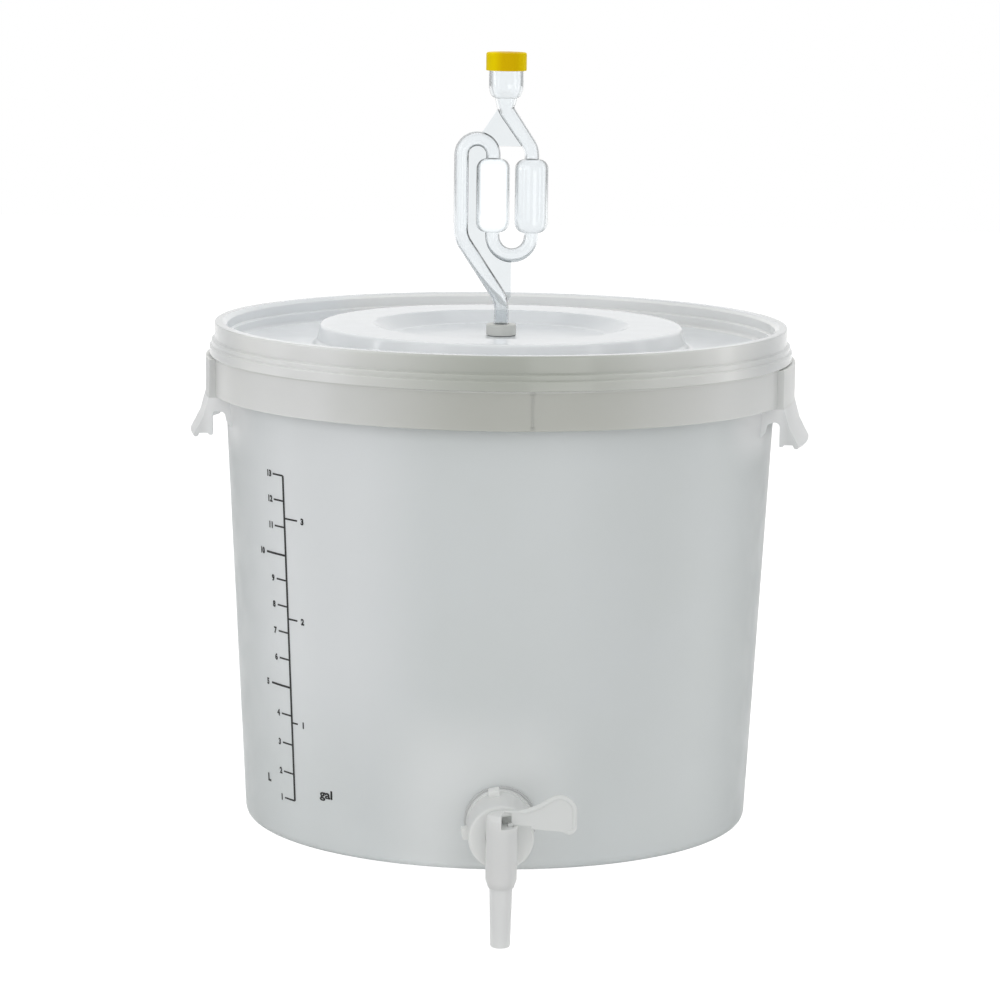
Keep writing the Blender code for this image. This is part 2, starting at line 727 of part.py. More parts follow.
def airlock_path(wall_share):
    """The one continuous passage, from the cup rim to the stem, as (x, z, radius) points.

    A wall share of 0 gives the outer surface and 1 the bore.
    """
    tube = TUBE_RADIUS - TUBE_WALL * wall_share
    bubble = BUBBLE_RADIUS - BUBBLE_WALL * wall_share
    cup = CUP_RADIUS - CUP_WALL * wall_share
    neck = CUP_NECK_RADIUS - TUBE_WALL * wall_share
    foot = CUP_FOOT_RADIUS - TUBE_WALL * wall_share
    overrun = CUT_OVERRUN * wall_share
    path = [(CUP_OFFSET, CUP_RIM + overrun, cup)]
    for index in range(SHOULDER_POINTS + 1):
        angle = math.radians(90.0 * index / SHOULDER_POINTS)
        height = CUP_SIDE - (CUP_SIDE - CUP_FOOT) * math.sin(angle)
        path.append((CUP_OFFSET, height, foot + (cup - foot) * math.cos(angle)))
    top = Vector((CUP_OFFSET, CUP_FOOT))
    upper = Vector((CUP_OFFSET, CUP_NECK))
    lower = Vector((RIGHT_BUBBLE_X, BUBBLE_TOP + DROP_TUBE_LENGTH))
    below = Vector((RIGHT_BUBBLE_X, BUBBLE_TOP))
    corner = rounded_corner(top, upper, lower, CUP_NECK_ROUND, 3)
    path += [(x, z, max(neck, foot - (CUP_FOOT - z) / 4)) for x, z in corner]
    path += [(x, z, tube) for x, z in rounded_corner(upper, lower, below, DROP_TUBE_ROUND, 3)]
    path += bubble_points(RIGHT_BUBBLE_X, False, tube, bubble)
    centre = ((LEFT_BUBBLE_X + RIGHT_BUBBLE_X) / 2, LOWER_BEND)
    path += [(x, z, tube) for x, z in arc(centre, LOWER_BEND_RADIUS, 0.0, -180.0, BEND_POINTS)]
    path += bubble_points(LEFT_BUBBLE_X, True, tube, bubble)
    centre = ((LEFT_BUBBLE_X + LEG_X) / 2, UPPER_BEND)
    path += [(x, z, tube) for x, z in arc(centre, UPPER_BEND_RADIUS, 0.0, 180.0, BEND_POINTS)]
    leg_top = Vector((LEG_X, UPPER_BEND))
    leg_corner = Vector((LEG_X, LEG_BEND))
    stem_corner = Vector((0.0, STEM_BEND))
    stem_end = Vector((0.0, STEM_BOTTOM))
    path += [(x, z, tube) for x, z in rounded_corner(leg_top, leg_corner, stem_corner, CORNER_ROUND, 4)]
    path += [(x, z, tube) for x, z in rounded_corner(leg_corner, stem_corner, stem_end, CORNER_ROUND, 4)]
    path.append((0.0, STEM_BOTTOM - overrun, tube))
    return path


def airlock_webs():
    """The thin flat webs that stiffen the tubes: three plates in the plane of the airlock."""
    half = TUBE_RADIUS / 2
    bubble_side = LEFT_BUBBLE_X - BUBBLE_RADIUS / 2
    upper_centre = ((LEG_X + LEFT_BUBBLE_X) / 2, UPPER_BEND)
    side_web = [(LEG_X, LEG_BEND), (bubble_side, LOWER_BEND), (bubble_side, BUBBLE_TOP)]
    side_web += arc(upper_centre, UPPER_BEND_RADIUS, 0.0, 180.0, 4)
    lower_middle = (LEFT_BUBBLE_X + RIGHT_BUBBLE_X) / 2
    lower_web = [
        (half, STEM_BEND - half),
        (lower_middle, STEM_BEND + half),
        (lower_middle, LOWER_BEND - LOWER_BEND_RADIUS),
        (LEFT_BUBBLE_X, LOWER_BEND),
        (LEG_X, LEG_BEND),
    ]
    web_foot = UPPER_BEND + WEB_FOOT_RISE
    slope = (RIGHT_BUBBLE_X - CUP_OFFSET) / (CUP_NECK - BUBBLE_TOP - DROP_TUBE_LENGTH)
    upper_web = [
        (CUP_OFFSET - WEB_TOP_INSET, CUP_NECK + WEB_TOP_RISE),
        (CUP_OFFSET + half, CUP_NECK),
        (CUP_OFFSET + slope * (CUP_NECK - web_foot), web_foot),
        (LEFT_BUBBLE_X, web_foot),
        (upper_centre[0], UPPER_BEND + UPPER_BEND_RADIUS),
    ]
    plates = (("side_web", side_web), ("lower_web", lower_web), ("upper_web", upper_web))
    return [add_cutter(name, plate_mesh(name, outline, WEB_THICKNESS)) for name, outline in plates]


def build_airlock():
    outer = tube_mesh("airlock_body", airlock_path(0.0), TUBE_RADIUS, TUBE_SIDES_RESOLUTION)
    body = add_part("airlock_body", outer, CLEAR_PLASTIC)
    smooth(body)
    for web in airlock_webs():
        combine(body, web, "UNION", web.name)
    bore = tube_mesh("airlock_bore", airlock_path(1.0), TUBE_RADIUS - TUBE_WALL, TUBE_SIDES_RESOLUTION)
    combine(body, add_cutter("airlock_bore", bore), "DIFFERENCE", "bore")
    return body


def build_cap():
    inside = CUP_RADIUS + GAP
    outside = inside + CAP_WALL
    roof = CUP_RIM + GAP
    top = roof + CAP_WALL
    points = [
        (0.0, top),
        (outside - CAP_EDGE, top),
        (outside, top - CAP_EDGE),
        (outside, top - CAP_HEIGHT),
        (inside, top - CAP_HEIGHT),
        (inside, roof),
        (0.0, roof),
    ]
    cap = turned_part("airlock_cap", points, YELLOW_PLASTIC, closed=False)
    cap.location = (CUP_OFFSET, 0.0, 0.0)
    mesh = bpy.data.meshes.new("cap_vents")
    shape = bmesh.new()
    for index in range(VENT_COUNT):
        angle = math.tau * index / VENT_COUNT
        verts = bmesh.ops.create_cone(
            shape,
            cap_ends=True,
            segments=SMALL_STEPS // 4,
            radius1=VENT_RADIUS,
            radius2=VENT_RADIUS,
            depth=CAP_WALL + CUT_OVERRUN,
        )["verts"]
        place = (VENT_CIRCLE_RADIUS * math.cos(angle), VENT_CIRCLE_RADIUS * math.sin(angle), top)
        bmesh.ops.translate(shape, verts=verts, vec=place)
    shape.to_mesh(mesh)
    shape.free()
    vents = add_cutter("cap_vents", mesh)
    vents.location = cap.location
    combine(cap, vents, "DIFFERENCE", "vents")
    return cap


# Distances outwards from the wall, along the tap
COLLAR_BACK = GASKET_THICKNESS + GAP
COLLAR_FRONT = COLLAR_BACK + COLLAR_DEPTH
BARREL_DISTANCE = COLLAR_FRONT + GAP + BARREL_RADIUS
COLLAR_BORE = SHANK_RADIUS + GAP
INNER_GASKET_FACE = -(WALL + INNER_GASKET_THICKNESS)
NUT_OUTER = INNER_GASKET_FACE - GAP


def wall_keepout():
    """The bucket wall with its clearance, to shape the gaskets that lie on it."""
    low = HEEL_RADIUS - CUT_OVERRUN
    high = TAP_HEIGHT + GASKET_RADIUS + CUT_OVERRUN
    points = [
        (wall_radius(high) + GAP, high),
        (wall_radius(low) + GAP, low),
        (wall_radius(low) - WALL - GAP, low),
        (wall_radius(high) - WALL - GAP, high),
    ]
    return turned_cutter("wall_keepout", points, TURN_STEPS)


def ring_points(inner, outer, back, front):
    """The section of a plain ring along the tap, from its front down its outer side."""
    return [(inner, front), (outer, front), (outer, back), (inner, back)]


def build_gasket(name, radius, back, front, keepout):
    """A flat washer, shaped to the bucket wall on one side."""
    points = ring_points(COLLAR_BORE, radius, back, front)
    gasket = turned_part(name, points, SEAL_RUBBER, parent=TAP_SEAT)
    face_outwards(gasket)
    combine(gasket, keepout, "DIFFERENCE", "wall")
    return gasket


def build_gaskets(keepout):
    curve_allowance = GASKET_RADIUS ** 2 / BASE_RADIUS / 2
    build_gasket("tap_outer_gasket", GASKET_RADIUS, -curve_allowance, GASKET_THICKNESS, keepout)
    build_gasket("tap_inner_gasket", INNER_GASKET_RADIUS, INNER_GASKET_FACE, -WALL + GAP, keepout)


def build_back_nut():
    """Six-sided nut inside the bucket."""
    corner = NUT_RADIUS / math.cos(math.pi / NUT_SIDES)
    mesh = cylinder_mesh("tap_back_nut", corner, NUT_THICKNESS, NUT_SIDES)
    nut = add_part("tap_back_nut", mesh, TAP_PLASTIC, TAP_SEAT)
    face_outwards(nut, NUT_OUTER - NUT_THICKNESS)
    edge = nut.modifiers.new("edges", "BEVEL")
    edge.width = NUT_EDGE
    edge.segments = 1
    bore_length = NUT_THICKNESS + 2 * CUT_OVERRUN
    bore = add_cutter("nut_bore", cylinder_mesh("nut_bore", COLLAR_BORE, bore_length), TAP_SEAT)
    face_outwards(bore, NUT_OUTER - NUT_THICKNESS - CUT_OVERRUN)
    combine(nut, bore, "DIFFERENCE", "thread bore")
    return nut


def build_collar():
    """Bell-shaped collar with four lugs to hold it by, and a hub on the shank."""
    hub_radius = COLLAR_BORE + HUB_WALL
    face_back = COLLAR_FRONT - COLLAR_FACE
    points = [
        (COLLAR_BORE, COLLAR_FRONT),
        (COLLAR_FRONT_RADIUS - COLLAR_EDGE, COLLAR_FRONT),
        (COLLAR_FRONT_RADIUS, COLLAR_FRONT - COLLAR_EDGE),
        (COLLAR_BACK_RADIUS, COLLAR_BACK),
        (COLLAR_BACK_RADIUS - COLLAR_WALL, COLLAR_BACK),
        (COLLAR_FRONT_RADIUS - COLLAR_WALL, face_back),
        (hub_radius, face_back),
        (hub_radius, COLLAR_BACK),
        (COLLAR_BORE, COLLAR_BACK),
    ]
    collar = face_outwards(turned_part("tap_collar", points, TAP_PLASTIC, parent=TAP_SEAT))
    mesh = bpy.data.meshes.new("collar_lugs")
    shape = bmesh.new()
    middle_radius = (COLLAR_BACK_RADIUS + COLLAR_FRONT_RADIUS) / 2
    size = (LUG_HEIGHT + LUG_ROOT, LUG_WIDTH, LUG_LENGTH)
    centre = (
        middle_radius + (LUG_HEIGHT - LUG_ROOT) / 2,
        0.0,
        COLLAR_BACK + LUG_BACK + LUG_LENGTH / 2,
    )
    for index in range(LUG_COUNT):
        angle = math.tau * index / LUG_COUNT + LUG_TURN
        add_box(shape, size, centre, Matrix.Rotation(angle, 4, "Z"))
    bmesh.ops.bevel(shape, geom=shape.edges[:], offset=LUG_EDGE, segments=1, affect="EDGES")
    shape.to_mesh(mesh)
    shape.free()
    lugs = face_outwards(add_cutter("collar_lugs", mesh, TAP_SEAT))
    combine(collar, lugs, "UNION", "lugs")
    return collar


def barrel_points(radius, bottom, top, crown):
    """The outline of a barrel with a domed top, from the axis down its side."""
    points = arc((radius - crown, top - crown), crown, 90.0, 0.0, 4)
    points[0] = (radius - crown, top)
    return [(0.0, top)] + points + [(radius, bottom)]


def build_tap_body():
    """Shank and upright barrel in one, with the lever notch and the water passage."""
    shank_points = [
        (0.0, BARREL_DISTANCE),
        (SHANK_RADIUS, BARREL_DISTANCE),
        (SHANK_RADIUS, SHANK_CHAMFER - SHANK_INSIDE),
        (SHANK_RADIUS - SHANK_CHAMFER, -SHANK_INSIDE),
        (0.0, -SHANK_INSIDE),
    ]
    body = turned_part("tap_body", shank_points, TAP_PLASTIC, closed=False, parent=TAP_SEAT)
    face_outwards(body)
    outline = barrel_points(
        BARREL_RADIUS, -BARREL_BOTTOM + BARREL_CHAMFER_HEIGHT, BARREL_TOP, BARREL_CROWN
    )
    outline += [(BARREL_RADIUS - BARREL_CHAMFER_WIDTH, -BARREL_BOTTOM), (0.0, -BARREL_BOTTOM)]
    barrel = turned_cutter("barrel", outline, closed=False, parent=TAP_SEAT)
    barrel.location = (0.0, -BARREL_DISTANCE, 0.0)
    combine(body, barrel, "UNION", "barrel")
    bore_outline = barrel_points(
        BARREL_RADIUS - BARREL_WALL,
        -BARREL_BOTTOM - CUT_OVERRUN,
        BARREL_TOP - BARREL_WALL,
        BARREL_CROWN - BARREL_WALL / 2,
    )
    bore_outline.append((0.0, -BARREL_BOTTOM - CUT_OVERRUN))
    bore = turned_cutter("barrel_bore", bore_outline, closed=False, parent=TAP_SEAT)
    bore.location = barrel.location
    combine(body, bore, "DIFFERENCE", "barrel bore")
    shank_bore_length = SHANK_INSIDE + COLLAR_FRONT - COLLAR_FACE + CUT_OVERRUN
    inlet_mesh = cylinder_mesh("shank_bore", SHANK_BORE_RADIUS, shank_bore_length)
    inlet = add_cutter("shank_bore", inlet_mesh, TAP_SEAT)
    face_outwards(inlet, -SHANK_INSIDE - CUT_OVERRUN)
    combine(body, inlet, "DIFFERENCE", "shank bore")
    throat = add_cutter("throat", cylinder_mesh("throat", THROAT_RADIUS, BARREL_DISTANCE), TAP_SEAT)
    face_outwards(throat)
    combine(body, throat, "DIFFERENCE", "throat")
    combine(body, lever_notch(), "DIFFERENCE", "lever notch")
    return body


def lever_notch():
    """A sector that opens the crown and the barrel wall over the travel of the lever."""
    half_angle = math.asin((LEVER_FOOT_WIDTH / 2 + GAP) / LEVER_STEM_INSET) + LEVER_PLAY
    radius = BARREL_RADIUS + CUT_OVERRUN
    start = math.degrees(half_angle)
    end = math.degrees(-LEVER_TRAVEL - half_angle)
    outline = [(0.0, 0.0)] + arc((0.0, 0.0), radius, start, end, 8)
    height = BARREL_TOP + CUT_OVERRUN - SLOT_BOTTOM
    mesh = plate_mesh("lever_notch", outline, height)
    mesh.transform(Matrix.Rotation(math.radians(-90.0), 4, "X"))
    notch = add_cutter("lever_notch", mesh, TAP_SEAT)
    notch.location = (0.0, -BARREL_DISTANCE, SLOT_BOTTOM + height / 2)
    return notch


def rotor_frame():
    """The upright axis that the rotor and the lever turn about."""
    pivot = bpy.data.objects.new("rotor_pivot", None)
    PARTS.objects.link(pivot)
    pivot.parent = TAP_SEAT
    pivot.location = (0.0, -BARREL_DISTANCE, 0.0)
    return pivot


ROTOR_PIVOT = rotor_frame()
ROTOR_RADIUS = BARREL_RADIUS - BARREL_WALL - GAP


def lever_foot(name, extra):
    """The foot of the lever in the top of the rotor, larger by a clearance for its socket."""
    inner = LEVER_FOOT_INSET - extra
    outer = ROTOR_RADIUS - GAP + extra * 2
    bottom = SLOT_BOTTOM - LEVER_FOOT_DEPTH - extra
    top = SLOT_BOTTOM + LEVER_FOOT_WIDTH / 2
    mesh = bpy.data.meshes.new(name)
    shape = bmesh.new()
    size = (outer - inner, LEVER_FOOT_WIDTH + 2 * extra, top - bottom)
    add_box(shape, size, ((outer + inner) / 2, 0.0, (top + bottom) / 2))
    shape.to_mesh(mesh)
    shape.free()
    return add_cutter(name, mesh, ROTOR_PIVOT)


def build_rotor():
    """Hollow plug that runs down into the spout, with a side port and the lever socket."""
    points = [
        (0.0, SLOT_BOTTOM),
        (ROTOR_RADIUS - ROTOR_EDGE, SLOT_BOTTOM),
        (ROTOR_RADIUS, SLOT_BOTTOM - ROTOR_EDGE),
        (ROTOR_RADIUS, -BARREL_BOTTOM),
        (SPOUT_RADIUS, -BARREL_BOTTOM - ROTOR_EDGE),
        (SPOUT_TIP_RADIUS, -SPOUT_DROP + SPOUT_TIP_EDGE),
        (SPOUT_TIP_RADIUS - SPOUT_TIP_EDGE / 2, -SPOUT_DROP),
        (ROTOR_BORE_RADIUS, -SPOUT_DROP),
        (ROTOR_BORE_RADIUS, ROTOR_BORE_TOP),
        (0.0, ROTOR_BORE_TOP),
    ]
    rotor = turned_part("tap_rotor", points, TAP_PLASTIC, closed=False, parent=ROTOR_PIVOT)
    port_mesh = cylinder_mesh("rotor_port", THROAT_RADIUS, BARREL_RADIUS)
    port = add_cutter("rotor_port", port_mesh, ROTOR_PIVOT)
    port.rotation_euler = (math.radians(-90.0), 0.0, LEVER_TRAVEL)
    combine(rotor, port, "DIFFERENCE", "port")
    combine(rotor, lever_foot("lever_socket", GAP), "DIFFERENCE", "lever socket")
    return rotor


def build_lever():
    """Flat paddle with a rounded bead along its upper and outer edges."""
    centre = (PADDLE_REACH - PADDLE_RADIUS, PADDLE_CENTRE_RISE)
    paddle_bottom = PADDLE_CENTRE_RISE - PADDLE_DEPTH
    arm_bottom = SLOT_BOTTOM + GAP
    finger_height = BARREL_TOP + GAP + LEVER_FINGER_RADIUS
    rim = [(ARM_BEND_REACH, ARM_BEND_RISE), (ARM_SWEEP_REACH, ARM_SWEEP_RISE)]
    rim += arc(centre, PADDLE_RADIUS, 122.0, 0.0, 9)
    corner_centre = (PADDLE_REACH - PADDLE_CORNER, paddle_bottom + PADDLE_CORNER)
    rim += arc(corner_centre, PADDLE_CORNER, 0.0, -60.0, 3)
    outline = [(LEVER_STEM_INSET, ARM_TOP - GAP), (ARM_RISE_START, ARM_TOP - GAP)]
    outline += rim
    outline += [
        (PADDLE_REACH - PADDLE_CORNER, paddle_bottom),
        (ARM_STEP_REACH, arm_bottom - ARM_STEP_DEPTH),
        (ARM_STEP_REACH - GAP, arm_bottom),
        (LEVER_STEM_INSET, arm_bottom),
    ]
    paddle = plate_mesh("tap_lever", outline, PADDLE_THICKNESS)
    lever = add_part("tap_lever", paddle, TAP_PLASTIC, ROTOR_PIVOT)
    bead_path = [
        (LEVER_FINGER_INSET, finger_height, LEVER_FINGER_RADIUS),
        (BARREL_RADIUS, finger_height, LEVER_FINGER_RADIUS),
        (ARM_RISE_START, ARM_TOP, BEAD_RADIUS),
    ]
    bead_path += [(x, z, BEAD_RADIUS) for x, z in rim]
    bead = add_cutter("lever_bead", tube_mesh("lever_bead", bead_path, BEAD_RADIUS, 2), ROTOR_PIVOT)
    combine(lever, bead, "UNION", "bead")
    combine(lever, lever_foot("lever_foot", 0.0), "UNION", "foot")
    return lever


build_bucket()
build_lid()
build_grommet()
build_airlock()
build_cap()
build_gaskets(wall_keepout())
build_back_nut()
build_collar()
build_tap_body()
build_rotor()
build_lever()
bpy.context.view_layer.update()
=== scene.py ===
import math

import bmesh
import bpy
from mathutils import Matrix, Vector


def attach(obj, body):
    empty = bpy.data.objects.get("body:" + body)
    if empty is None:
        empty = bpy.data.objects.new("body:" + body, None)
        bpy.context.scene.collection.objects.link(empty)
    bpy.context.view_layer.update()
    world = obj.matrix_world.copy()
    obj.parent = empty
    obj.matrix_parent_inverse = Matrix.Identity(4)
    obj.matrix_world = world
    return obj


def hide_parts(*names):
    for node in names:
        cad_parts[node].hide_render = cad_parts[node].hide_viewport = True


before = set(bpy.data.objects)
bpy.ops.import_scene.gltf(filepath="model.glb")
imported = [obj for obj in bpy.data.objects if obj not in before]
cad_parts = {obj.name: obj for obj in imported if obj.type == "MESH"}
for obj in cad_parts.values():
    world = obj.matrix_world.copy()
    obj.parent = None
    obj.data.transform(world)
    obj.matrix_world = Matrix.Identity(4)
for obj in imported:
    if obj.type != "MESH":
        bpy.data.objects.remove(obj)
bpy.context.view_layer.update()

# Sizes in metres, the same as the solids have unless a comment says otherwise
GAP = 0.0003
OVERRUN = 0.004
SIDES = 288
SMALL_SIDES = 96
FILLET_STEPS = 4

BASE_RADIUS = 0.1422
NECK_FOOT_RADIUS = 0.1554
WALL = 0.0022
FLOOR = 0.0025
HEEL_RADIUS = 0.005
INNER_HEEL_RADIUS = 0.004
SKIRT_TOP = 0.2623
SKIRT_DROP = 0.0212
SKIRT_RADIUS = 0.162
SKIRT_WALL = 0.0018
NECK_RADIUS = 0.158
NECK_STEP_RISE = 0.003
RIB_COUNT = 24
RIB_THICKNESS = 0.0014
RIB_FOOT_CLEARANCE = 0.003

GRIP_RADIUS = 0.1654
GRIP_HALF_WIDTH = 0.047
GRIP_WALL = 0.002
GRIP_TOP_DROP = 0.0004
FLARE_START_DROP = 0.0206
FLARE_MIDDLE_DROP = 0.0325
FLARE_MIDDLE_REACH = 0.0033
GRIP_DROP = 0.0438
FLARE_REACH = 0.0084
LIP_RADIUS = 0.0013
CHEEK_THICKNESS = 0.002
CHEEK_INSET = 0.00005
CHEEK_EDGE = 0.0004
CHEEK_FOOT_RISE = 0.0021
CHEEK_FOOT_WIDTH = 0.0092
CHEEK_NUB_HEIGHT = 0.001
CHEEK_NUB_WIDTH = 0.0022
ARCH_DEPTH = 0.0073
ARCH_FALL = 0.0017
ARCH_WIDTH = 0.0067
GUSSET_SIDE = 0.0046
GUSSET_LEAN = 0.0011
GUSSET_FOOT_DROP = 0.0192

LID_TOP = 0.2807
LID_SHELL = 0.002
LID_RADIUS = 0.1605
LID_STEP_ONE_DROP = 0.0095
LID_STEP_ONE_RADIUS = 0.1622
LID_STEP_TWO_DROP = 0.0128
LID_BAND_RADIUS = 0.1634
LID_CREST_WIDTH = 0.0045
PLUG_LEDGE_DROP = 0.007
PLUG_LEDGE = 0.0013
LID_FLOOR_DROP = 0.0132
PLATEAU_DROP = 0.0012
PLATEAU_RADIUS = 0.1005
PLATEAU_EDGE = 0.0018
PLATEAU_DRAFT = 0.0012
PLATEAU_FOOT_RISE = 0.0032
PLATEAU_FOOT_WIDTH = 0.0022
RECESS_RADIUS = 0.072
RECESS_SLOPE = 0.011
RECESS_DEPTH = 0.0065

GROMMET_HEAD_RADIUS = 0.0084
GROMMET_HEAD_HEIGHT = 0.0062
GROMMET_NECK_RADIUS = 0.0066
GROMMET_FOOT_RADIUS = 0.0082
GROMMET_FOOT_HEIGHT = 0.0026

TUBE_RADIUS = 0.0041
TUBE_WALL = 0.0012
# Thinner than the solid's, so that the dark outline of the clear tubes is fine
TUBE_WALL_SHOWN = 0.0008
STEM_REACH = 0.011
STEM_BEND_RISE = 0.0198
LEG_OFFSET = 0.0234
LEG_BEND_RISE = 0.055
LOWER_BEND_RISE = 0.0559
LOWER_BEND_RADIUS = 0.01075
UPPER_BEND_RADIUS = 0.00895
BUBBLE_RADIUS = 0.0094
BUBBLE_WALL = 0.0011
BUBBLE_LENGTH = 0.0411
BUBBLE_SHOULDER = 0.0058
BEND_STRAIGHT = 0.002
SLANT_HEIGHT = 0.0275
NECK_LENGTH = 0.0064
CUP_OFFSET = 0.0011
CUP_RADIUS = 0.00975
CUP_WALL = 0.0012
CUP_FOOT_RADIUS = 0.0063
CUP_NECK_RADIUS = 0.0045
CUP_SHOULDER_HEIGHT = 0.0142
CUP_DEPTH = 0.0159
CUP_NECK_ROUND = 0.0025
DROP_TUBE_LENGTH = 0.0056
DROP_TUBE_ROUND = 0.0035
WEB_THICKNESS = 0.0014
WEB_TOP_RISE = 0.0026
WEB_TOP_INSET = 0.003
WEB_FOOT_RISE = 0.005
WEB_OVERLAP = 0.003
WEB_EDGE = 0.0003
CORNER_ROUND = 0.005
BEND_POINTS = 28
SHOULDER_POINTS = 10
CORNER_POINTS = 8
TUBE_SIDES = 128

CAP_HEIGHT = 0.0101
CAP_WALL = 0.00125
VENT_RADIUS = 0.0008
VENT_CIRCLE_RADIUS = 0.0052
VENT_COUNT = 5
VENT_SIDES = 20

SKIRT_BOTTOM = SKIRT_TOP - SKIRT_DROP
LEDGE_UNDERSIDE = SKIRT_TOP - SKIRT_WALL
RIM_TOP = LID_TOP - LID_SHELL - GAP
LID_FLOOR = LID_TOP - LID_FLOOR_DROP
PLATEAU_TOP = LID_TOP - PLATEAU_DROP
RECESS_FLOOR = PLATEAU_TOP - RECESS_DEPTH


def link(item):
    bpy.context.scene.collection.objects.link(item)
    return item


def new_object(name, mesh):
    return link(bpy.data.objects.new(name, mesh))


def finish_mesh(shape, name):
    bmesh.ops.recalc_face_normals(shape, faces=shape.faces)
    mesh = bpy.data.meshes.new(name)
    shape.to_mesh(mesh)
    shape.free()
    return mesh


def arc(centre, radius, start, end, count):
    """Points on an arc, angles in degrees, both ends included."""
    angles = [math.radians(start + (end - start) * index / count) for index in range(count + 1)]
    return [(centre[0] + radius * math.cos(a), centre[1] + radius * math.sin(a)) for a in angles]


def bend(corner, before, after, reach, steps):
    """Points round a corner, from reach along the way before it to reach along the way after it."""
    start = corner + before.normalized() * reach
    end = corner + after.normalized() * reach
    shares = [step / steps for step in range(steps + 1)]
    return [start.lerp(corner, share).lerp(corner.lerp(end, share), share) for share in shares]


def fillet(points, closed=True, steps=FILLET_STEPS):
    """Round the corners of a section given as (radius, height, fillet) points."""
    rounded = []
    last = len(points) - 1
    for index, (x, z, size) in enumerate(points):
        corner = Vector((x, z))
        if not size or (not closed and index in (0, last)):
            rounded.append((x, z))
            continue
        before = Vector(points[index - 1][:2]) - corner
        after = Vector(points[(index + 1) % len(points)][:2]) - corner
        angle = before.angle(after)
        reach = min(size / math.tan(angle / 2), 0.48 * before.length, 0.48 * after.length)
        rounded += [tuple(point) for point in bend(corner, before, after, reach, steps)]
    return rounded


def lathe(name, section, sides=SIDES, closed=True):
    """Turn a section of (radius, height) points about Z."""
    shape = bmesh.new()
    turns = [math.tau * side / sides for side in range(sides)]
    rings = []
    for radius, height in section:
        if radius < 0.00001:
            rings.append([shape.verts.new((0.0, 0.0, height))])
        else:
            spots = [(radius * math.cos(turn), radius * math.sin(turn), height) for turn in turns]
            rings.append([shape.verts.new(spot) for spot in spots])
    pairs = list(zip(rings, rings[1:]))
    if closed:
        pairs.append((rings[-1], rings[0]))
    for upper, lower in pairs:
        for side in range(sides):
            following = (side + 1) % sides
            corners = []
            for ring, place in ((upper, side), (upper, following), (lower, following), (lower, side)):
                vert = ring[place % len(ring)]
                if vert not in corners:
                    corners.append(vert)
            shape.faces.new(corners)
    return new_object(name, finish_mesh(shape, name))


def rod(name, radius, top, bottom, sides):
    """A plain round bar about Z, to cut a hole with."""
    return lathe(name, [(0.0, top), (radius, top), (radius, bottom), (0.0, bottom)], sides, closed=False)


def box(name, size, centre, turn=None, edge=0.0):
    """A box with rounded edges, turned about the origin."""
    shape = bmesh.new()
    bmesh.ops.create_cube(shape, size=1.0)
    bmesh.ops.scale(shape, verts=shape.verts, vec=size)
    bmesh.ops.translate(shape, verts=shape.verts, vec=centre)
    if edge:
        bmesh.ops.bevel(shape, geom=shape.edges[:], offset=edge, segments=3, affect="EDGES", profile=0.5)
    item = new_object(name, finish_mesh(shape, name))
    if turn is not None:
        item.data.transform(turn)
    return item


def plate(name, outline, thickness, edge=0.0, place=None):
    """A flat plate in the XZ plane, centred on its own middle plane, with rounded edges."""
    shape = bmesh.new()
    front = [shape.verts.new((x, -thickness / 2, z)) for x, z in outline]
    back = [shape.verts.new((x, thickness / 2, z)) for x, z in outline]
    shape.faces.new(front)
    shape.faces.new(back[::-1])
    count = len(outline)
    for index in range(count):
        following = (index + 1) % count
        shape.faces.new((front[index], back[index], back[following], front[following]))
    if edge:
        flat = [face for face in shape.faces if len(face.verts) == count]
        rim = list({line for face in flat for line in face.edges})
        bmesh.ops.bevel(shape, geom=rim, offset=edge, segments=2, affect="EDGES", profile=0.5)
    item = new_object(name, finish_mesh(shape, name))
    if place is not None:
        item.data.transform(place)
    return item


def sweep(name, path, sides=TUBE_SIDES):
    """A round tube of changing radius along (x, z, radius) points, closed at both ends."""
    shape = bmesh.new()
    rings = []
    last = len(path) - 1
    for index, (x, z, radius) in enumerate(path):
        before = Vector(path[max(index - 1, 0)][:2])
        after = Vector(path[min(index + 1, last)][:2])
        along = (after - before).normalized()
        ring = []
        for side in range(sides):
            angle = math.tau * side / sides
            across = radius * math.cos(angle)
            spot = (x - along.y * across, radius * math.sin(angle), z + along.x * across)
            ring.append(shape.verts.new(spot))
        rings.append(ring)
    for first, second in zip(rings, rings[1:]):
        for side in range(sides):
            following = (side + 1) % sides
            shape.faces.new((first[side], first[following], second[following], second[side]))
    shape.faces.new(rings[0])
    shape.faces.new(rings[-1])
    return new_object(name, finish_mesh(shape, name))


def joined(name, items):
    """Several separate bodies as one object."""
    shape = bmesh.new()
    for item in items:
        shape.from_mesh(item.data)
        bpy.data.objects.remove(item, do_unlink=True)
    return new_object(name, finish_mesh(shape, name))


def combine(target, other, operation):
    """Apply an exact Boolean of another object to the target, and drop the other."""
    step = target.modifiers.new("step", "BOOLEAN")
    step.object = other
    step.operation = operation
    step.solver = "EXACT"
    settle(target)
    bpy.data.objects.remove(other, do_unlink=True)
    return target


def evaluated_mesh(item):
    bpy.context.view_layer.update()
    graph = bpy.context.evaluated_depsgraph_get()
    return bpy.data.meshes.new_from_object(item.evaluated_get(graph))


def settle(item):
    """Apply the modifiers of an object."""
    mesh = evaluated_mesh(item)
    item.modifiers.clear()
    item.data = mesh


def smooth(item, angle=40.0):
    """Shade smooth, with sharp edges where faces meet at more than the angle."""
    item.data.shade_smooth()
    item.data.set_sharp_from_angle(angle=math.radians(angle))
    weighted = item.modifiers.new("weighted", "WEIGHTED_NORMAL")
    weighted.keep_sharp = True
    settle(item)
    return item


def dress(item, material):
    item.data.materials.clear()
    item.data.materials.append(material)
    return item


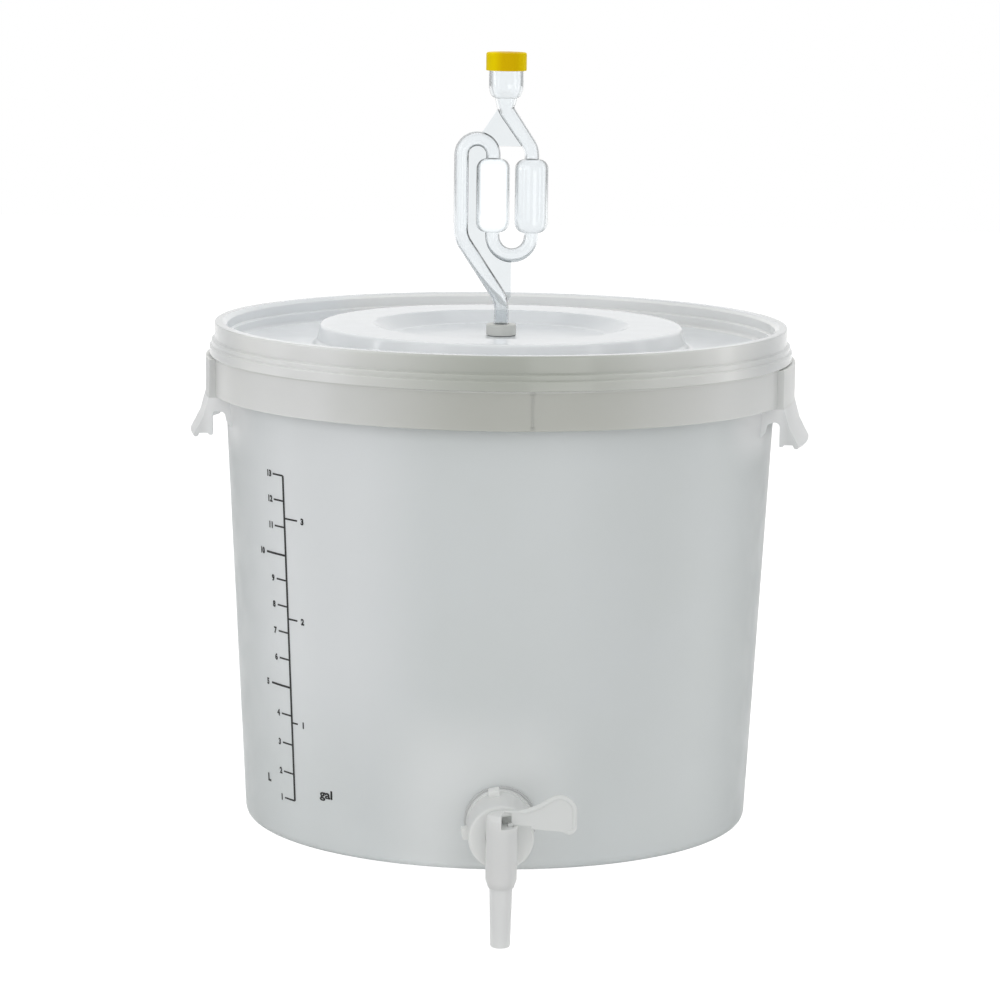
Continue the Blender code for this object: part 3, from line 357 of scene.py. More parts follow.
def place_piece(item, material, body, node):
    """Dress a piece, let it ride on its body and stand for its node."""
    dress(item, material)
    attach(item, body)
    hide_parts(node)


# Materials
class Nodes:
    """A short way to build the node tree of a material or of the world."""

    def __init__(self, owner):
        self.owner = owner
        owner.use_nodes = True
        self.tree = owner.node_tree
        self.tree.nodes.clear()

    def add(self, kind, inputs=None, **settings):
        node = self.tree.nodes.new(kind)
        for key, value in settings.items():
            setattr(node, key, value)
        self.feed(node, inputs or {})
        return node

    def feed(self, node, inputs):
        """Give each named or numbered input its value, or wire it to what feeds it."""
        for key, value in inputs.items():
            if isinstance(value, bpy.types.NodeSocket):
                self.tree.links.new(value, node.inputs[key])
            else:
                node.inputs[key].default_value = value

    def maths(self, operation, *values):
        return self.add("ShaderNodeMath", dict(enumerate(values)), operation=operation).outputs[0]

    def parts(self, coordinates):
        """The X, Y and Z of a place or direction."""
        return self.add("ShaderNodeSeparateXYZ", {0: coordinates}).outputs[:]

    def ramp(self, value, low, high, to_low=0.0, to_high=1.0):
        """A soft step from to_low to to_high as the value goes from low to high."""
        step = {"Value": value, "From Min": low, "From Max": high, "To Min": to_low, "To Max": to_high}
        return self.add("ShaderNodeMapRange", step, interpolation_type="SMOOTHSTEP").outputs["Result"]

    def away(self, value, centre, near, far):
        """0 where the value is near the centre, 1 where it is far; near may be the larger."""
        return self.ramp(self.maths("ABSOLUTE", self.maths("SUBTRACT", value, centre)), near, far)

    def noise(self, coordinates, scale, detail=2.0):
        field = {"Vector": coordinates, "Scale": scale, "Detail": detail}
        return self.add("ShaderNodeTexNoise", field).outputs["Fac"]

    def mix(self, factor, first, second):
        """From the first colour to the second."""
        first, second = ((*c, 1.0) if isinstance(c, tuple) else c for c in (first, second))
        return self.add("ShaderNodeMix", {0: factor, 6: first, 7: second}, data_type="RGBA").outputs[2]

    def mix_shaders(self, factor, first, second):
        return self.add("ShaderNodeMixShader", {0: factor, 1: first, 2: second}).outputs[0]


def new_material(name):
    """The nodes of a new material, its shader and the place on the piece."""
    nodes = Nodes(bpy.data.materials.new(name))
    shader = nodes.add("ShaderNodeBsdfPrincipled")
    nodes.add("ShaderNodeOutputMaterial", {"Surface": shader.outputs[0]})
    return nodes, shader, nodes.add("ShaderNodeTexCoord").outputs["Object"]


def finish_shader(nodes, shader, tone, gloss, relief, strength, depth):
    """Wire the colour, the roughness and the relief."""
    bump = nodes.add("ShaderNodeBump", {"Strength": strength, "Distance": depth, "Height": relief})
    nodes.feed(shader, {"Base Color": tone, "Roughness": gloss, "Normal": bump.outputs[0]})


GRAIN_DEPTH = 0.0004
SOFT_COLOURS = (1.0, 1.0, 0.95)
SOFT_DEPTH = 0.006
PLASTIC_IOR = 1.5


def plastic(
    name, colour, shade, roughness,
    spread=0.05, grain=900.0, bump=0.03, softness=0.0, zone=None, shine=0.5,
):
    """Moulded plastic: a slightly uneven colour and gloss, and the fine grain of the mould."""
    nodes, shader, place = new_material(name)
    tone = nodes.mix(nodes.ramp(nodes.noise(place, 14.0, 3.0), 0.35, 0.65), colour, shade)
    if zone is not None:
        tone = zone(nodes, place, tone)
    patches = nodes.noise(place, 60.0, 4.0)
    gloss = nodes.ramp(patches, 0.3, 0.7, roughness - spread, roughness + spread)
    finish_shader(nodes, shader, tone, gloss, nodes.noise(place, grain), bump, GRAIN_DEPTH)
    nodes.feed(shader, {"IOR": PLASTIC_IOR, "Specular IOR Level": shine})
    if softness:
        soft = {"Weight": softness, "Radius": SOFT_COLOURS, "Scale": SOFT_DEPTH}
        nodes.feed(shader, {"Subsurface " + key: value for key, value in soft.items()})
    return nodes.owner


# Tones of the zones below; most of them are painted light and shade, as each use says
WALL_LEFT_PAINTED_LIGHT = (0.885, 0.92, 0.93)
WALL_EDGE_PAINTED_SHADE = (0.46, 0.495, 0.495)
WALL_SHOULDER_PAINTED_LIGHT = (0.95, 0.965, 0.965)
WALL_AT_TAP_PAINTED_LIGHT = (0.87, 0.905, 0.90)
GRIP_ROOT_PAINTED_LIGHT = (0.94, 0.955, 0.955)
GRIP_FLARE_PAINTED_SHADE = (0.765, 0.78, 0.78)
SKIRT_MIDDLE_PAINTED_SHADE = (0.55, 0.56, 0.515)
SKIRT_SIDES = (0.80, 0.81, 0.79)
SKIRT_LEFT_PAINTED_LIGHT = (0.865, 0.875, 0.86)
SKIRT_FAR_LEFT_PAINTED_SHADE = (0.56, 0.58, 0.58)
SKIRT_FAR_RIGHT_PAINTED_SHADE = (0.735, 0.75, 0.735)
SKIRT_LEDGE_PAINTED_LIGHT = (0.80, 0.81, 0.78)
LID_INNER_RING_PAINTED_LIGHT = (0.93, 0.94, 0.93)
LID_LEFT_PAINTED_LIGHT = (0.90, 0.93, 0.95)
LID_PLATEAU_SIDE_PAINTED_HIGHLIGHT = (0.91, 0.935, 0.95)
LID_BAND_MIDDLE_PAINTED_SHADE = (0.515, 0.535, 0.485)
LID_BAND_SIDES = (0.87, 0.88, 0.855)
LID_BAND_LEFT_PAINTED_LIGHT = (0.93, 0.94, 0.925)
LID_ENDS_PAINTED_SHADE = (0.59, 0.61, 0.61)
CAP_SIDES_PAINTED_LIGHT = (0.98, 0.74, 0.0)


def bucket_zone(nodes, place, tone):
    """Painted light and shade on one plastic: the wall is painted darker where it turns away, and the
    doubled skirt, denser and warmer, is painted darker most in the middle.
    """
    x, y, z = nodes.parts(place)
    # Painted light: the wall is painted lighter on its left, towards the lamps there
    left = nodes.maths("MULTIPLY", nodes.ramp(x, -0.02, -0.075), nodes.ramp(z, 0.02, 0.12, 0.1, 1.0))
    tone = nodes.mix(left, tone, WALL_LEFT_PAINTED_LIGHT)
    # Painted shade: the wall is painted darker where it turns away from the view, most on its right
    slant = nodes.add("ShaderNodeLayerWeight").outputs["Facing"]
    edge = nodes.maths("MULTIPLY", nodes.ramp(slant, 0.36, 0.86), nodes.ramp(x, 0.02, -0.1, 0.95, 0.86))
    tone = nodes.mix(edge, tone, WALL_EDGE_PAINTED_SHADE)
    # Painted light: at the far left and right, on the grips and their cheeks, the wall is painted lighter
    tone = nodes.mix(nodes.away(x, 0.0, SKIRT_RADIUS - 0.006, SKIRT_RADIUS - 0.001), tone, GRIP_ROOT_PAINTED_LIGHT)
    # Painted light: high on the wall, at its far left and right under the grips, it is painted lighter
    shoulder = nodes.maths("MULTIPLY", nodes.away(x, 0.0, 0.125, 0.145), nodes.ramp(z, 0.205, 0.238))
    tone = nodes.mix(shoulder, tone, WALL_SHOULDER_PAINTED_LIGHT)
    # Painted shade: the outer flares of the grips are painted darker
    flare = nodes.away(x, -0.001, SKIRT_RADIUS - 0.005, SKIRT_RADIUS + 0.001)
    tone = nodes.mix(flare, tone, GRIP_FLARE_PAINTED_SHADE)
    # Painted light: the wall round and below the tap is painted lighter, to lift the shadow that the tap
    # casts there
    tap_shadow_lift = nodes.maths("MULTIPLY", nodes.ramp(z, 0.10, 0.055), nodes.away(x, 0.0, 0.062, 0.022))
    tap_shadow_lift = nodes.maths("MULTIPLY", tap_shadow_lift, nodes.ramp(y, -0.10, -0.13))
    tone = nodes.mix(tap_shadow_lift, tone, WALL_AT_TAP_PAINTED_LIGHT)
    # The doubled skirt is denser and warmer; its darker middle is painted shade
    skirt = nodes.mix(nodes.away(x, 0.022, 0.02, 0.122), SKIRT_MIDDLE_PAINTED_SHADE, SKIRT_SIDES)
    # Painted shade: the skirt is painted darker at its far left end
    skirt = nodes.mix(nodes.ramp(x, -0.150, -0.166), skirt, SKIRT_FAR_LEFT_PAINTED_SHADE)
    # Painted light: the skirt is painted lighter on its left, towards the lamps there
    skirt = nodes.mix(nodes.away(x, -0.107, 0.034, 0.012), skirt, SKIRT_LEFT_PAINTED_LIGHT)
    # Painted shade: the skirt is painted darker at its far right end
    skirt = nodes.mix(nodes.ramp(x, 0.118, 0.15), skirt, SKIRT_FAR_RIGHT_PAINTED_SHADE)
    # Painted light: the top edge of the skirt is painted lighter, to lift the shade in the crevice under
    # the lid's band
    skirt = nodes.mix(nodes.ramp(z, SKIRT_TOP - 0.0014, SKIRT_TOP - 0.0004), skirt, SKIRT_LEDGE_PAINTED_LIGHT)
    return nodes.mix(nodes.ramp(z, SKIRT_BOTTOM - 0.0012, SKIRT_BOTTOM - 0.0002), tone, skirt)


def lid_zone(nodes, place, tone):
    """Painted light and shade on the lid: its outer bands are denser and warmer than its top and are
    painted darker in the middle, and the bend of its rim is painted darker at its far ends.
    """
    x, y, _ = nodes.parts(place)
    flat = nodes.add("ShaderNodeCombineXYZ", {"X": x, "Y": y}).outputs[0]
    radius = nodes.add("ShaderNodeVectorMath", {0: flat}, operation="LENGTH").outputs["Value"]
    crest = LID_RADIUS - LID_CREST_WIDTH
    # Painted light: the inner wall of the rim, in the rim's shade, is painted lighter
    tone = nodes.mix(nodes.away(radius, crest - 0.0035, 0.0045, 0.0015), tone, LID_INNER_RING_PAINTED_LIGHT)
    # Painted light: the lid is painted lighter on its left, where the rim shades it
    tone = nodes.mix(nodes.ramp(x, -0.085, -0.115), tone, LID_LEFT_PAINTED_LIGHT)
    # Painted highlight: the side of the plateau is painted lighter
    tone = nodes.mix(nodes.away(radius, PLATEAU_RADIUS + 0.0035, 0.005, 0.003), tone, LID_PLATEAU_SIDE_PAINTED_HIGHLIGHT)
    # Painted shade: the outer band is painted darker and warmer in its middle
    band = nodes.ramp(radius, LID_RADIUS - 0.0012, LID_RADIUS - 0.0002)
    band_tone = nodes.mix(nodes.away(x, 0.02, 0.01, 0.12), LID_BAND_MIDDLE_PAINTED_SHADE, LID_BAND_SIDES)
    tone = nodes.mix(band, tone, band_tone)
    # Painted light: the outer band is painted lighter on its left
    left = nodes.maths("MULTIPLY", nodes.away(x, -0.1, 0.036, 0.012), band)
    tone = nodes.mix(left, tone, LID_BAND_LEFT_PAINTED_LIGHT)
    # Painted shade: the outer bend of the rim is painted darker at the lid's far left and right
    rim = nodes.ramp(radius, crest - 0.0005, crest + 0.0005, 0.0, 0.9)
    return nodes.mix(nodes.maths("MULTIPLY", nodes.away(x, 0.0, 0.128, 0.152), rim), tone, LID_ENDS_PAINTED_SHADE)


def cap_zone(nodes, place, tone):
    """The cap's sides are painted lighter than its middle: painted light for its thin rim, which lets more
    light through there.
    """
    x, _, _ = nodes.parts(place)
    return nodes.mix(nodes.away(x, CUP_OFFSET + 0.0022, 0.003, 0.0095), tone, CAP_SIDES_PAINTED_LIGHT)


BUCKET_PLASTIC = plastic(
    "bucket_plastic", (0.765, 0.806, 0.806), (0.755, 0.796, 0.792), 0.36,
    softness=0.3, zone=bucket_zone,
)
LID_PLASTIC = plastic(
    "lid_plastic", (0.78, 0.815, 0.835), (0.765, 0.80, 0.825), 0.15,
    spread=0.015, grain=240.0, bump=0.012, softness=0.2, zone=lid_zone,
)
TAP_PLASTIC = plastic("tap_plastic", (0.90, 0.91, 0.89), (0.88, 0.90, 0.88), 0.40, softness=0.5)
# Painted shade: the lever takes a darker copy of the tap's plastic
LEVER_PLASTIC_PAINTED_SHADE = plastic("lever_plastic_painted_shade", (0.83, 0.845, 0.83), (0.81, 0.83, 0.815), 0.34, softness=0.25)
SPOUT_PLASTIC = plastic("spout_plastic", (0.89, 0.905, 0.895), (0.87, 0.895, 0.885), 0.38, softness=0.25)
GROMMET_RUBBER = plastic("grommet_rubber", (0.76, 0.77, 0.74), (0.72, 0.73, 0.70), 0.5, bump=0.05)
SEAL_RUBBER = plastic("seal_rubber", (0.68, 0.69, 0.69), (0.64, 0.65, 0.65), 0.66, bump=0.06)
YELLOW_PLASTIC = plastic(
    "yellow_plastic", (0.80, 0.525, 0.0), (0.78, 0.505, 0.0), 0.5,
    zone=cap_zone, shine=0.04,
)
INK = plastic("scale_ink", (0.006, 0.007, 0.007), (0.012, 0.013, 0.013), 0.55)

CLEAR_EDGE_PAINTED_SHADE = (0.56, 0.585, 0.595)
CLEAR_IOR = 1.49
WAVE_DEPTH = 0.0005


def clear_plastic(name, colour, shade):
    """Clear moulded plastic: a faint tint, painted darker where it turns away (painted shade), and slight
    waves.
    """
    nodes, shader, place = new_material(name)
    tone = nodes.mix(nodes.ramp(nodes.noise(place, 60.0), 0.3, 0.7), colour, shade)
    # Painted shade: the tint is painted darker where the surface turns away from the view
    slant = nodes.add("ShaderNodeLayerWeight").outputs["Facing"]
    tone = nodes.mix(nodes.ramp(slant, 0.42, 0.74), tone, CLEAR_EDGE_PAINTED_SHADE)
    gloss = nodes.ramp(nodes.noise(place, 40.0), 0.3, 0.7, 0.0, 0.02)
    finish_shader(nodes, shader, tone, gloss, nodes.noise(place, 25.0), 0.02, WAVE_DEPTH)
    nodes.feed(shader, {"IOR": CLEAR_IOR, "Transmission Weight": 1.0})
    return nodes.owner


# Painted shade: copies of the one clear plastic, darker for the tubes and darker still for the webs
CLEAR_PLASTIC = clear_plastic("clear_plastic", (0.955, 0.975, 0.985), (0.94, 0.962, 0.975))
TUBE_PLASTIC_PAINTED_SHADE = clear_plastic("tube_plastic_painted_shade", (0.865, 0.885, 0.895), (0.855, 0.875, 0.888))
WEB_PLASTIC_PAINTED_SHADE = clear_plastic("web_plastic_painted_shade", (0.735, 0.765, 0.78), (0.72, 0.752, 0.768))


# Bucket
def wall_radius(height):
    """Outer radius of the tapered wall."""
    share = (height - HEEL_RADIUS) / (SKIRT_TOP - HEEL_RADIUS)
    return BASE_RADIUS + (NECK_FOOT_RADIUS - BASE_RADIUS) * share


def bucket_section():
    bore = NECK_RADIUS - WALL
    ledge = LEDGE_UNDERSIDE
    return fillet(
        [
            (0.0, FLOOR, 0.0),
            (wall_radius(FLOOR) - WALL, FLOOR, INNER_HEEL_RADIUS),
            (wall_radius(ledge) - WALL, ledge, 0.0015),
            (bore, SKIRT_TOP + NECK_STEP_RISE, 0.0015),
            (bore, RIM_TOP, 0.0009),
            (NECK_RADIUS, RIM_TOP, 0.0009),
            (NECK_RADIUS, SKIRT_TOP, 0.0004),
            (SKIRT_RADIUS, SKIRT_TOP, 0.0004),
            (SKIRT_RADIUS, SKIRT_BOTTOM, 0.0007),
            (SKIRT_RADIUS - SKIRT_WALL, SKIRT_BOTTOM, 0.0007),
            (SKIRT_RADIUS - SKIRT_WALL, ledge, 0.0006),
            (wall_radius(ledge), ledge, 0.0008),
            (wall_radius(0.0), 0.0, HEEL_RADIUS),
            (0.0, 0.0, 0.0),
        ],
        closed=False,
        steps=6,
    )


def grip_ring():
    top = SKIRT_TOP - GRIP_TOP_DROP
    flare_start = SKIRT_TOP - FLARE_START_DROP
    flare_middle = SKIRT_TOP - FLARE_MIDDLE_DROP
    middle = GRIP_RADIUS + FLARE_MIDDLE_REACH
    bottom = SKIRT_TOP - GRIP_DROP
    tip = GRIP_RADIUS + FLARE_REACH
    root = SKIRT_RADIUS - SKIRT_WALL / 2
    points = [
        (root, top, 0.0),
        (GRIP_RADIUS, top, 0.0007),
        (GRIP_RADIUS, flare_start, 0.006),
        (middle, flare_middle, 0.012),
    ]
    lip = arc((tip - LIP_RADIUS, bottom + LIP_RADIUS), LIP_RADIUS, 10.0, -155.0, 10)
    points += [(radius, height, 0.0) for radius, height in lip]
    points += [
        (middle - GRIP_WALL, flare_middle, 0.012),
        (GRIP_RADIUS - GRIP_WALL, flare_start, 0.006),
        (GRIP_RADIUS - GRIP_WALL, top - GRIP_WALL, 0.0007),
        (root, top - GRIP_WALL, 0.0),
    ]
    ring = lathe("grip_ring", fillet(points, steps=6))
    reach = 2 * (tip + OVERRUN)
    size = (reach, 2 * GRIP_HALF_WIDTH, SKIRT_TOP)
    width = box("grip_width", size, (0.0, 0.0, SKIRT_TOP / 2 + OVERRUN))
    return combine(ring, width, "INTERSECT")


def grip_cheeks():
    def reach(radius):
        return math.sqrt(radius ** 2 - GRIP_HALF_WIDTH ** 2)

    foot = SKIRT_TOP - GRIP_DROP + CHEEK_FOOT_RISE
    arch_top = SKIRT_BOTTOM - ARCH_DEPTH
    tip = reach(GRIP_RADIUS + FLARE_REACH - LIP_RADIUS)
    leg = tip - CHEEK_FOOT_WIDTH
    gusset = leg - ARCH_WIDTH
    gusset_foot = SKIRT_BOTTOM - GUSSET_FOOT_DROP
    root = reach(wall_radius(gusset_foot)) - WALL / 2
    top = SKIRT_TOP - GRIP_TOP_DROP - GRIP_WALL / 2
    band = reach(GRIP_RADIUS - GRIP_WALL / 2)
    outline = fillet(
        [
            (root, top, 0.0),
            (band, top, 0.0),
            (band, SKIRT_TOP - FLARE_START_DROP, 0.006),
            (reach(GRIP_RADIUS + FLARE_MIDDLE_REACH - GRIP_WALL / 2), SKIRT_TOP - FLARE_MIDDLE_DROP, 0.01),
            (tip, foot, 0.0008),
            (leg + CHEEK_NUB_WIDTH, foot, 0.0004),
            (leg + CHEEK_NUB_WIDTH, foot - CHEEK_NUB_HEIGHT, 0.0004),
            (leg, foot - CHEEK_NUB_HEIGHT, 0.0005),
            (leg, arch_top, 0.0022),
            (gusset, arch_top - ARCH_FALL, 0.0008),
            (gusset - GUSSET_LEAN, arch_top - ARCH_FALL - GUSSET_SIDE, 0.001),
            (root, gusset_foot, 0.0),
        ]
    )
    offset = GRIP_HALF_WIDTH - CHEEK_THICKNESS / 2 - CHEEK_INSET
    cheeks = []
    for side in (0.0, math.pi):
        for end in (1.0, -1.0):
            place = Matrix.Rotation(side, 4, "Z") @ Matrix.Translation((0.0, end * offset, 0.0))
            cheeks.append(plate("cheek", outline, CHEEK_THICKNESS, CHEEK_EDGE, place))
    return joined("grip_cheeks", cheeks)


def skirt_ribs():
    foot = SKIRT_BOTTOM + RIB_FOOT_CLEARANCE
    head = LEDGE_UNDERSIDE + SKIRT_WALL / 2
    inner = wall_radius(foot) - WALL / 2
    outer = SKIRT_RADIUS - SKIRT_WALL / 2
    ribs = []
    for index in range(RIB_COUNT):
        turn = Matrix.Rotation(math.tau * (index + 0.5) / RIB_COUNT, 4, "Z")
        size = (outer - inner, RIB_THICKNESS, head - foot)
        ribs.append(box("rib", size, ((outer + inner) / 2, 0.0, (head + foot) / 2), turn))
    return joined("skirt_ribs", ribs)


# The seam is in the scene alone
SEAM_BEARING = 9.4
SEAM_WIDTH = 0.0011
SEAM_RISE = 0.00014
SEAM_END = 0.0012
SEAM_EDGE = 0.0001
GATE_WIDTH = 2.4 * SEAM_WIDTH
GATE_HEIGHT = 0.0014
GATE_RISE = 0.00012
GATE_INSET = 0.0016
GATE_EDGE = 0.0002
TAP_BEARING = math.radians(4.5)
TAP_HEIGHT = 0.0283
HOLE_RADIUS = 0.0088
WALL_DRAFT = math.atan((NECK_FOOT_RADIUS - BASE_RADIUS) / (SKIRT_TOP - HEEL_RADIUS))
TAP_SEAT = (
    Matrix.Rotation(TAP_BEARING, 4, "Z")
    @ Matrix.Translation((0.0, -wall_radius(TAP_HEIGHT), TAP_HEIGHT))
    @ Matrix.Rotation(WALL_DRAFT, 4, "X")
)
OUTWARDS = TAP_SEAT @ Matrix.Rotation(math.radians(90.0), 4, "X")


def build_bucket():
    bucket = lathe("bucket_shell", bucket_section(), closed=False)
    combine(bucket, grip_ring(), "UNION")
    combine(bucket, grip_cheeks(), "UNION")
    combine(bucket, skirt_ribs(), "UNION")
    hole = rod("hole", HOLE_RADIUS, OVERRUN, -2 * OVERRUN, SMALL_SIDES)
    hole.data.transform(OUTWARDS)
    combine(bucket, hole, "DIFFERENCE")
    place_piece(smooth(bucket), BUCKET_PLASTIC, "bucket", "bucket")


def build_seam():
    """The fine upright line of the mould on the front of the skirt, with a gate mark at each end."""
    turn = Matrix.Rotation(math.radians(SEAM_BEARING), 4, "Z")
    reach = SKIRT_RADIUS + SEAM_RISE - SKIRT_WALL / 4
    middle = SKIRT_TOP - SKIRT_DROP / 2
    size = (SEAM_WIDTH, SKIRT_WALL / 2, SKIRT_DROP - 2 * SEAM_END)
    bars = [box("bar", size, (0.0, -reach, middle), turn, SEAM_EDGE)]
    for height in (SKIRT_TOP - GATE_INSET, SKIRT_BOTTOM + GATE_INSET):
        spot = (0.0, -reach - GATE_RISE, height)
        bars.append(box("gate", (GATE_WIDTH, SKIRT_WALL / 2, GATE_HEIGHT), spot, turn, GATE_EDGE))
    seam = dress(joined("skirt_seam", bars), BUCKET_PLASTIC)
    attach(seam, "bucket")


# Lid and grommet
def build_lid():
    skirt_foot = SKIRT_TOP + GAP / 6
    plug = NECK_RADIUS - WALL - GAP
    inside = plug - LID_SHELL
    step_one = LID_TOP - LID_STEP_ONE_DROP
    step_two = LID_TOP - LID_STEP_TWO_DROP
    roof = LID_TOP - LID_SHELL
    under = PLATEAU_TOP - LID_SHELL
    recess_foot = RECESS_RADIUS - RECESS_SLOPE
    plateau_foot = PLATEAU_RADIUS + PLATEAU_EDGE + PLATEAU_DRAFT
    hole = GROMMET_NECK_RADIUS + GAP
    section = fillet(
        [
            (LID_RADIUS - LID_CREST_WIDTH, LID_TOP, 0.0009),
            (LID_RADIUS, LID_TOP, 0.0011),
            (LID_RADIUS, step_one, 0.0008),
            (LID_STEP_ONE_RADIUS, step_one - 0.0006, 0.0007),
            (LID_STEP_ONE_RADIUS, step_two, 0.0007),
            (LID_BAND_RADIUS, step_two - 0.0006, 0.0007),
            (LID_BAND_RADIUS, skirt_foot, 0.0003),
            (LID_BAND_RADIUS - LID_SHELL, skirt_foot, 0.0004),
            (LID_BAND_RADIUS - LID_SHELL, step_two - LID_SHELL, 0.0006),
            (LID_RADIUS - LID_SHELL + 0.00015, step_one - LID_SHELL, 0.0006),
            (LID_RADIUS - LID_SHELL + 0.00015, roof, 0.0004),
            (plug, roof, 0.0004),
            (plug, LID_FLOOR - LID_SHELL, 0.002),
            (plateau_foot + PLATEAU_FOOT_WIDTH - LID_SHELL / 2, LID_FLOOR - LID_SHELL, 0.0015),
            (plateau_foot - LID_SHELL, LID_FLOOR + PLATEAU_FOOT_RISE - LID_SHELL, 0.0015),
            (PLATEAU_RADIUS - LID_SHELL / 2, under, 0.001),
            (RECESS_RADIUS + LID_SHELL / 2, under, 0.002),
            (recess_foot + LID_SHELL / 2, RECESS_FLOOR - LID_SHELL, 0.003),
            (hole, RECESS_FLOOR - LID_SHELL, 0.0),
            (hole, RECESS_FLOOR, 0.0),
            (recess_foot, RECESS_FLOOR, 0.006),
            (RECESS_RADIUS, PLATEAU_TOP, 0.004),
            (PLATEAU_RADIUS + PLATEAU_EDGE / 2, PLATEAU_TOP, 0.0026),
            (plateau_foot, LID_FLOOR + PLATEAU_FOOT_RISE, 0.0018),
            (plateau_foot + PLATEAU_FOOT_WIDTH, LID_FLOOR, 0.0018),
            (inside - PLUG_LEDGE, LID_FLOOR, 0.0024),
            (inside - PLUG_LEDGE, LID_TOP - PLUG_LEDGE_DROP - PLUG_LEDGE / 2, 0.0007),
            (inside, LID_TOP - PLUG_LEDGE_DROP, 0.0007),
            (inside, roof, 0.0008),
        ],
        steps=5,
    )
    lid = lathe("lid_shell", section)
    place_piece(smooth(lid), LID_PLASTIC, "lid", "lid")


def build_grommet():
    bore = TUBE_RADIUS + GAP
    head = RECESS_FLOOR + GAP
    neck = RECESS_FLOOR - LID_SHELL - GAP
    section = fillet(
        [
            (bore, head + GROMMET_HEAD_HEIGHT, 0.0003),
            (GROMMET_HEAD_RADIUS, head + GROMMET_HEAD_HEIGHT, 0.0009),
            (GROMMET_HEAD_RADIUS, head, 0.0004),
            (GROMMET_NECK_RADIUS, head, 0.0),
            (GROMMET_NECK_RADIUS, neck, 0.0),
            (GROMMET_FOOT_RADIUS, neck, 0.0004),
            (GROMMET_FOOT_RADIUS, neck - GROMMET_FOOT_HEIGHT, 0.0009),
            (bore, neck - GROMMET_FOOT_HEIGHT, 0.0003),
        ]
    )
    grommet = lathe("grommet", section, SMALL_SIDES)
    place_piece(smooth(grommet), GROMMET_RUBBER, "lid", "lid_grommet")


# Airlock
LEG_X = -LEG_OFFSET
LEFT_X = LEG_X + 2 * UPPER_BEND_RADIUS
RIGHT_X = LEFT_X + 2 * LOWER_BEND_RADIUS
STEM_BOTTOM = RECESS_FLOOR - STEM_REACH
STEM_BEND = RECESS_FLOOR + STEM_BEND_RISE
LEG_BEND = RECESS_FLOOR + LEG_BEND_RISE
LOWER_BEND = RECESS_FLOOR + LOWER_BEND_RISE
BUBBLE_BOTTOM = LOWER_BEND + BEND_STRAIGHT
BUBBLE_TOP = BUBBLE_BOTTOM + BUBBLE_LENGTH
UPPER_BEND = BUBBLE_TOP + BEND_STRAIGHT
CUP_NECK = BUBBLE_TOP + SLANT_HEIGHT
CUP_FOOT = CUP_NECK + NECK_LENGTH
CUP_SIDE = CUP_NECK + CUP_SHOULDER_HEIGHT
CUP_RIM = CUP_SIDE + CUP_DEPTH


def rounded_corner(before, corner, after, distance):
    return bend(corner, before - corner, after - corner, distance, CORNER_POINTS)


def bubble_points(x, upwards, tube, bubble):
    points = []
    for index in range(SHOULDER_POINTS + 1):
        angle = math.radians(90.0 * index / SHOULDER_POINTS)
        height = BUBBLE_BOTTOM + BUBBLE_SHOULDER * (1 - math.cos(angle))
        points.append((x, height, tube + (bubble - tube) * math.sin(angle)))
    points += [(x, BUBBLE_BOTTOM + BUBBLE_TOP - height, radius) for x, height, radius in points][::-1]
    return points if upwards else points[::-1]


def airlock_path(inside):
    """The one passage from the cup's rim to the stem: its outer surface, or with 1 its bore."""
    def tubing(points):
        return [(x, z, tube) for x, z in points]

    tube = TUBE_RADIUS - TUBE_WALL_SHOWN * inside
    bubble = BUBBLE_RADIUS - BUBBLE_WALL * inside
    cup = CUP_RADIUS - CUP_WALL * inside
    neck = CUP_NECK_RADIUS - TUBE_WALL_SHOWN * inside
    foot = CUP_FOOT_RADIUS - TUBE_WALL * inside
    path = [(CUP_OFFSET, CUP_RIM + OVERRUN * inside, cup)]
    for index in range(SHOULDER_POINTS + 1):
        angle = math.radians(90.0 * index / SHOULDER_POINTS)
        height = CUP_SIDE - (CUP_SIDE - CUP_FOOT) * math.sin(angle)
        path.append((CUP_OFFSET, height, foot + (cup - foot) * math.cos(angle)))
    top = Vector((CUP_OFFSET, CUP_FOOT))
    upper = Vector((CUP_OFFSET, CUP_NECK))
    lower = Vector((RIGHT_X, BUBBLE_TOP + DROP_TUBE_LENGTH))
    below = Vector((RIGHT_X, BUBBLE_TOP))
    corner = rounded_corner(top, upper, lower, CUP_NECK_ROUND)
    path += [(x, z, max(neck, foot - (CUP_FOOT - z) / 4)) for x, z in corner]
    path += tubing(rounded_corner(upper, lower, below, DROP_TUBE_ROUND))
    path += bubble_points(RIGHT_X, False, tube, bubble)
    centre = ((LEFT_X + RIGHT_X) / 2, LOWER_BEND)
    path += tubing(arc(centre, LOWER_BEND_RADIUS, 0.0, -180.0, BEND_POINTS))
    path += bubble_points(LEFT_X, True, tube, bubble)
    centre = ((LEFT_X + LEG_X) / 2, UPPER_BEND)
    path += tubing(arc(centre, UPPER_BEND_RADIUS, 0.0, 180.0, BEND_POINTS))
    leg_top = Vector((LEG_X, UPPER_BEND))
    leg = Vector((LEG_X, LEG_BEND))
    stem = Vector((0.0, STEM_BEND))
    end = Vector((0.0, STEM_BOTTOM))
    path += tubing(rounded_corner(leg_top, leg, stem, CORNER_ROUND))
    path += tubing(rounded_corner(leg, stem, end, CORNER_ROUND))
    path.append((0.0, STEM_BOTTOM - OVERRUN * inside, tube))
    return path


